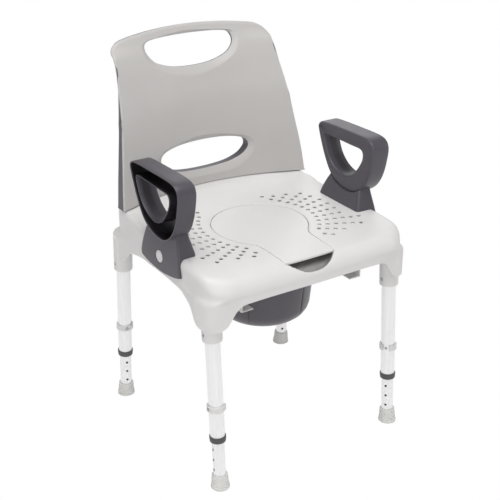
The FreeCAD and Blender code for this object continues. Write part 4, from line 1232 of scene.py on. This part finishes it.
def armBase():
    loops = []
    for height, front, frontInner, rear, inner, outer in arm["base"]:
        section = roundedOutline([(inner, frontInner, 8), (outer - 2, front, 4), (outer, rear, 6),
                                  (inner, rear, 7)], 6)
        loops.append([Vector((s.x, s.y, max(height, along(arm["underside"], s.y))))
                      for s in spreadAlong(section, 120)])
    centreTop = Vector((240, -40, loops[0][0].z))
    centreLow = Vector((240, -40, 449))
    return closeUp(skinLoops([[centreTop] * 120] + loops + [[centreLow] * 120]))


def seatCutter():  # the seat's outside, a hair larger
    angles = seatAngles(200)
    body = seatLoops(angles, [fanCentre] * len(angles), 0.35, 10, 8, False)
    height = seatHeight(fanCentre.x, fanCentre.y) + 0.35
    middle = [fanCentre] * len(angles)
    upper = [atHeight(middle, height)] + body[:25] + [atHeight(body[24], 300), atHeight(middle, 300)]
    return closeUp(skinLoops(upper))


def armrest(side):
    ring, outer = armRing()
    paintedShadeMarked(ring, ringPaintedShade())
    inRing, middle = shifted(outer, -1.5), [Vector(arm["centre"])] * len(outer)
    fill = closeUp(skinLoops([[Vector((x, s.x, s.y)) for s in loop]
                              for x, loop in ((200, middle), (200, inRing), (300, inRing), (300, middle))]))
    base = combined(armBase(), fill, "DIFFERENCE", True)
    base = combined(base, seatCutter(), "DIFFERENCE", True)
    capX, capY, capZ = arm["capX"], arm["capY"], arm["capZ"]
    recess = rod(arm["recessRadius"], (capX, capY, capZ), (300, capY, capZ), 48)
    base = combined(base, recess, "DIFFERENCE")
    whole = merged([ring, base, block(*arm["tongue"], 0.8)])
    cap = spun(arm["cap"], 56)
    cap.transform(Matrix.Translation((capX + 0.7, capY, capZ)) @ Matrix.Rotation(math.pi / 2, 4, "Y"))
    if side < 0:
        flip = Matrix.Scale(-1, 4, (1, 0, 0))
        for shape in (whole, cap):
            shape.transform(flip)
            bmesh.ops.reverse_faces(shape, faces=shape.faces[:])
    return whole, cap


for side, name in ((-1, "left"), (1, "right")):
    grip, cap = armrest(side)
    finished("armrest_" + name + "_grip", grip, "arm_plastic", "armrest_" + name, ("armrest_" + name,),
             crease=40)
    finished("armrest_cap_" + name + "_disc", cap, "cap_plastic", "armrest_" + name,
             ("armrest_cap_" + name,))
print("armrests")

# floor, lights and camera

view = {"azimuth": -33.124, "elevation": 24.93, "distance": 2.34844,
        "target": (-0.007602, 0.005507, 0.415944), "lens": 74.544}


def paleFloor():
    finish = Finish("paleFloor")
    tree = finish.tree
    finish.feed(Base_Color=(0.9, 0.9, 0.9, 1), Roughness=0.9)
    rays = tree.nodes.new("ShaderNodeLightPath")
    glow = tree.nodes.new("ShaderNodeEmission")
    glow.inputs["Color"].default_value = (1, 1, 1, 1)
    blend = tree.nodes.new("ShaderNodeMixShader")
    seen = finish.node("ShaderNodeMath", {"operation": "MAXIMUM"},
                       {0: Shade(tree, rays.outputs["Is Camera Ray"]),
                        1: Shade(tree, rays.outputs["Is Glossy Ray"])})
    tree.links.new(seen.socket, blend.inputs[0])
    tree.links.new(finish.shader.outputs[0], blend.inputs[1])
    tree.links.new(glow.outputs[0], blend.inputs[2])
    tree.links.new(blend.outputs[0], tree.nodes["Material Output"].inputs["Surface"])
    return finish.material


ground = bmesh.new()
bmesh.ops.create_circle(ground, cap_ends=True, segments=96, radius=30)
floor = asObject(ground, "floor")
floor.location.z = -0.0005
floor.data.materials.append(paleFloor())

world = bpy.data.worlds.new("studio")
world.use_nodes = True
bpy.context.scene.world = world
backdrop = world.node_tree.nodes["Background"]
backdrop.inputs["Color"].default_value = (1, 1, 1, 1)
pathNode = world.node_tree.nodes.new("ShaderNodeLightPath")
strength = world.node_tree.nodes.new("ShaderNodeMapRange")
strength.inputs["To Min"].default_value = 0.36
strength.inputs["To Max"].default_value = 1.0
world.node_tree.links.new(pathNode.outputs["Is Camera Ray"], strength.inputs["Value"])
world.node_tree.links.new(strength.outputs[0], backdrop.inputs["Strength"])


def softLight(name, place, target, size, power):
    data = bpy.data.lights.new(name, "AREA")
    data.shape = "DISK"
    data.size = size
    data.energy = power
    lamp = bpy.data.objects.new(name, data)
    lamp.location = place
    lamp.rotation_euler = (Vector(target) - Vector(place)).to_track_quat("-Z", "Y").to_euler()
    bpy.context.scene.collection.objects.link(lamp)


softLight("overhead", (-0.4, -0.5, 2.9), (0, 0, 0.4), 2.0, 39)
softLight("frontLeft", (-1.9, -2.6, 1.6), (0, 0, 0.45), 1.6, 25)
softLight("rightFill", (2.6, -1.4, 1.3), (0, 0, 0.45), 1.8, 8)
softLight("rearSheen", (1.5, 2.2, 1.75), (0, 0, 0.5), 2.0, 13)

cameraData = bpy.data.cameras.new("camera")
cameraData.lens = view["lens"]
cameraData.sensor_width = 36
camera = bpy.data.objects.new("camera", cameraData)
azimuth, elevation = math.radians(view["azimuth"]), math.radians(view["elevation"])
outward = Vector((math.sin(azimuth) * math.cos(elevation), -math.cos(azimuth) * math.cos(elevation),
                  math.sin(elevation)))
aim = Vector(view["target"]) + Vector((0, middleY, 0))
camera.location = aim + outward * view["distance"]
camera.rotation_euler = (-outward).to_track_quat("-Z", "Y").to_euler()
bpy.context.scene.collection.objects.link(camera)
bpy.context.scene.camera = camera
bpy.context.scene.view_settings.view_transform = "Standard"
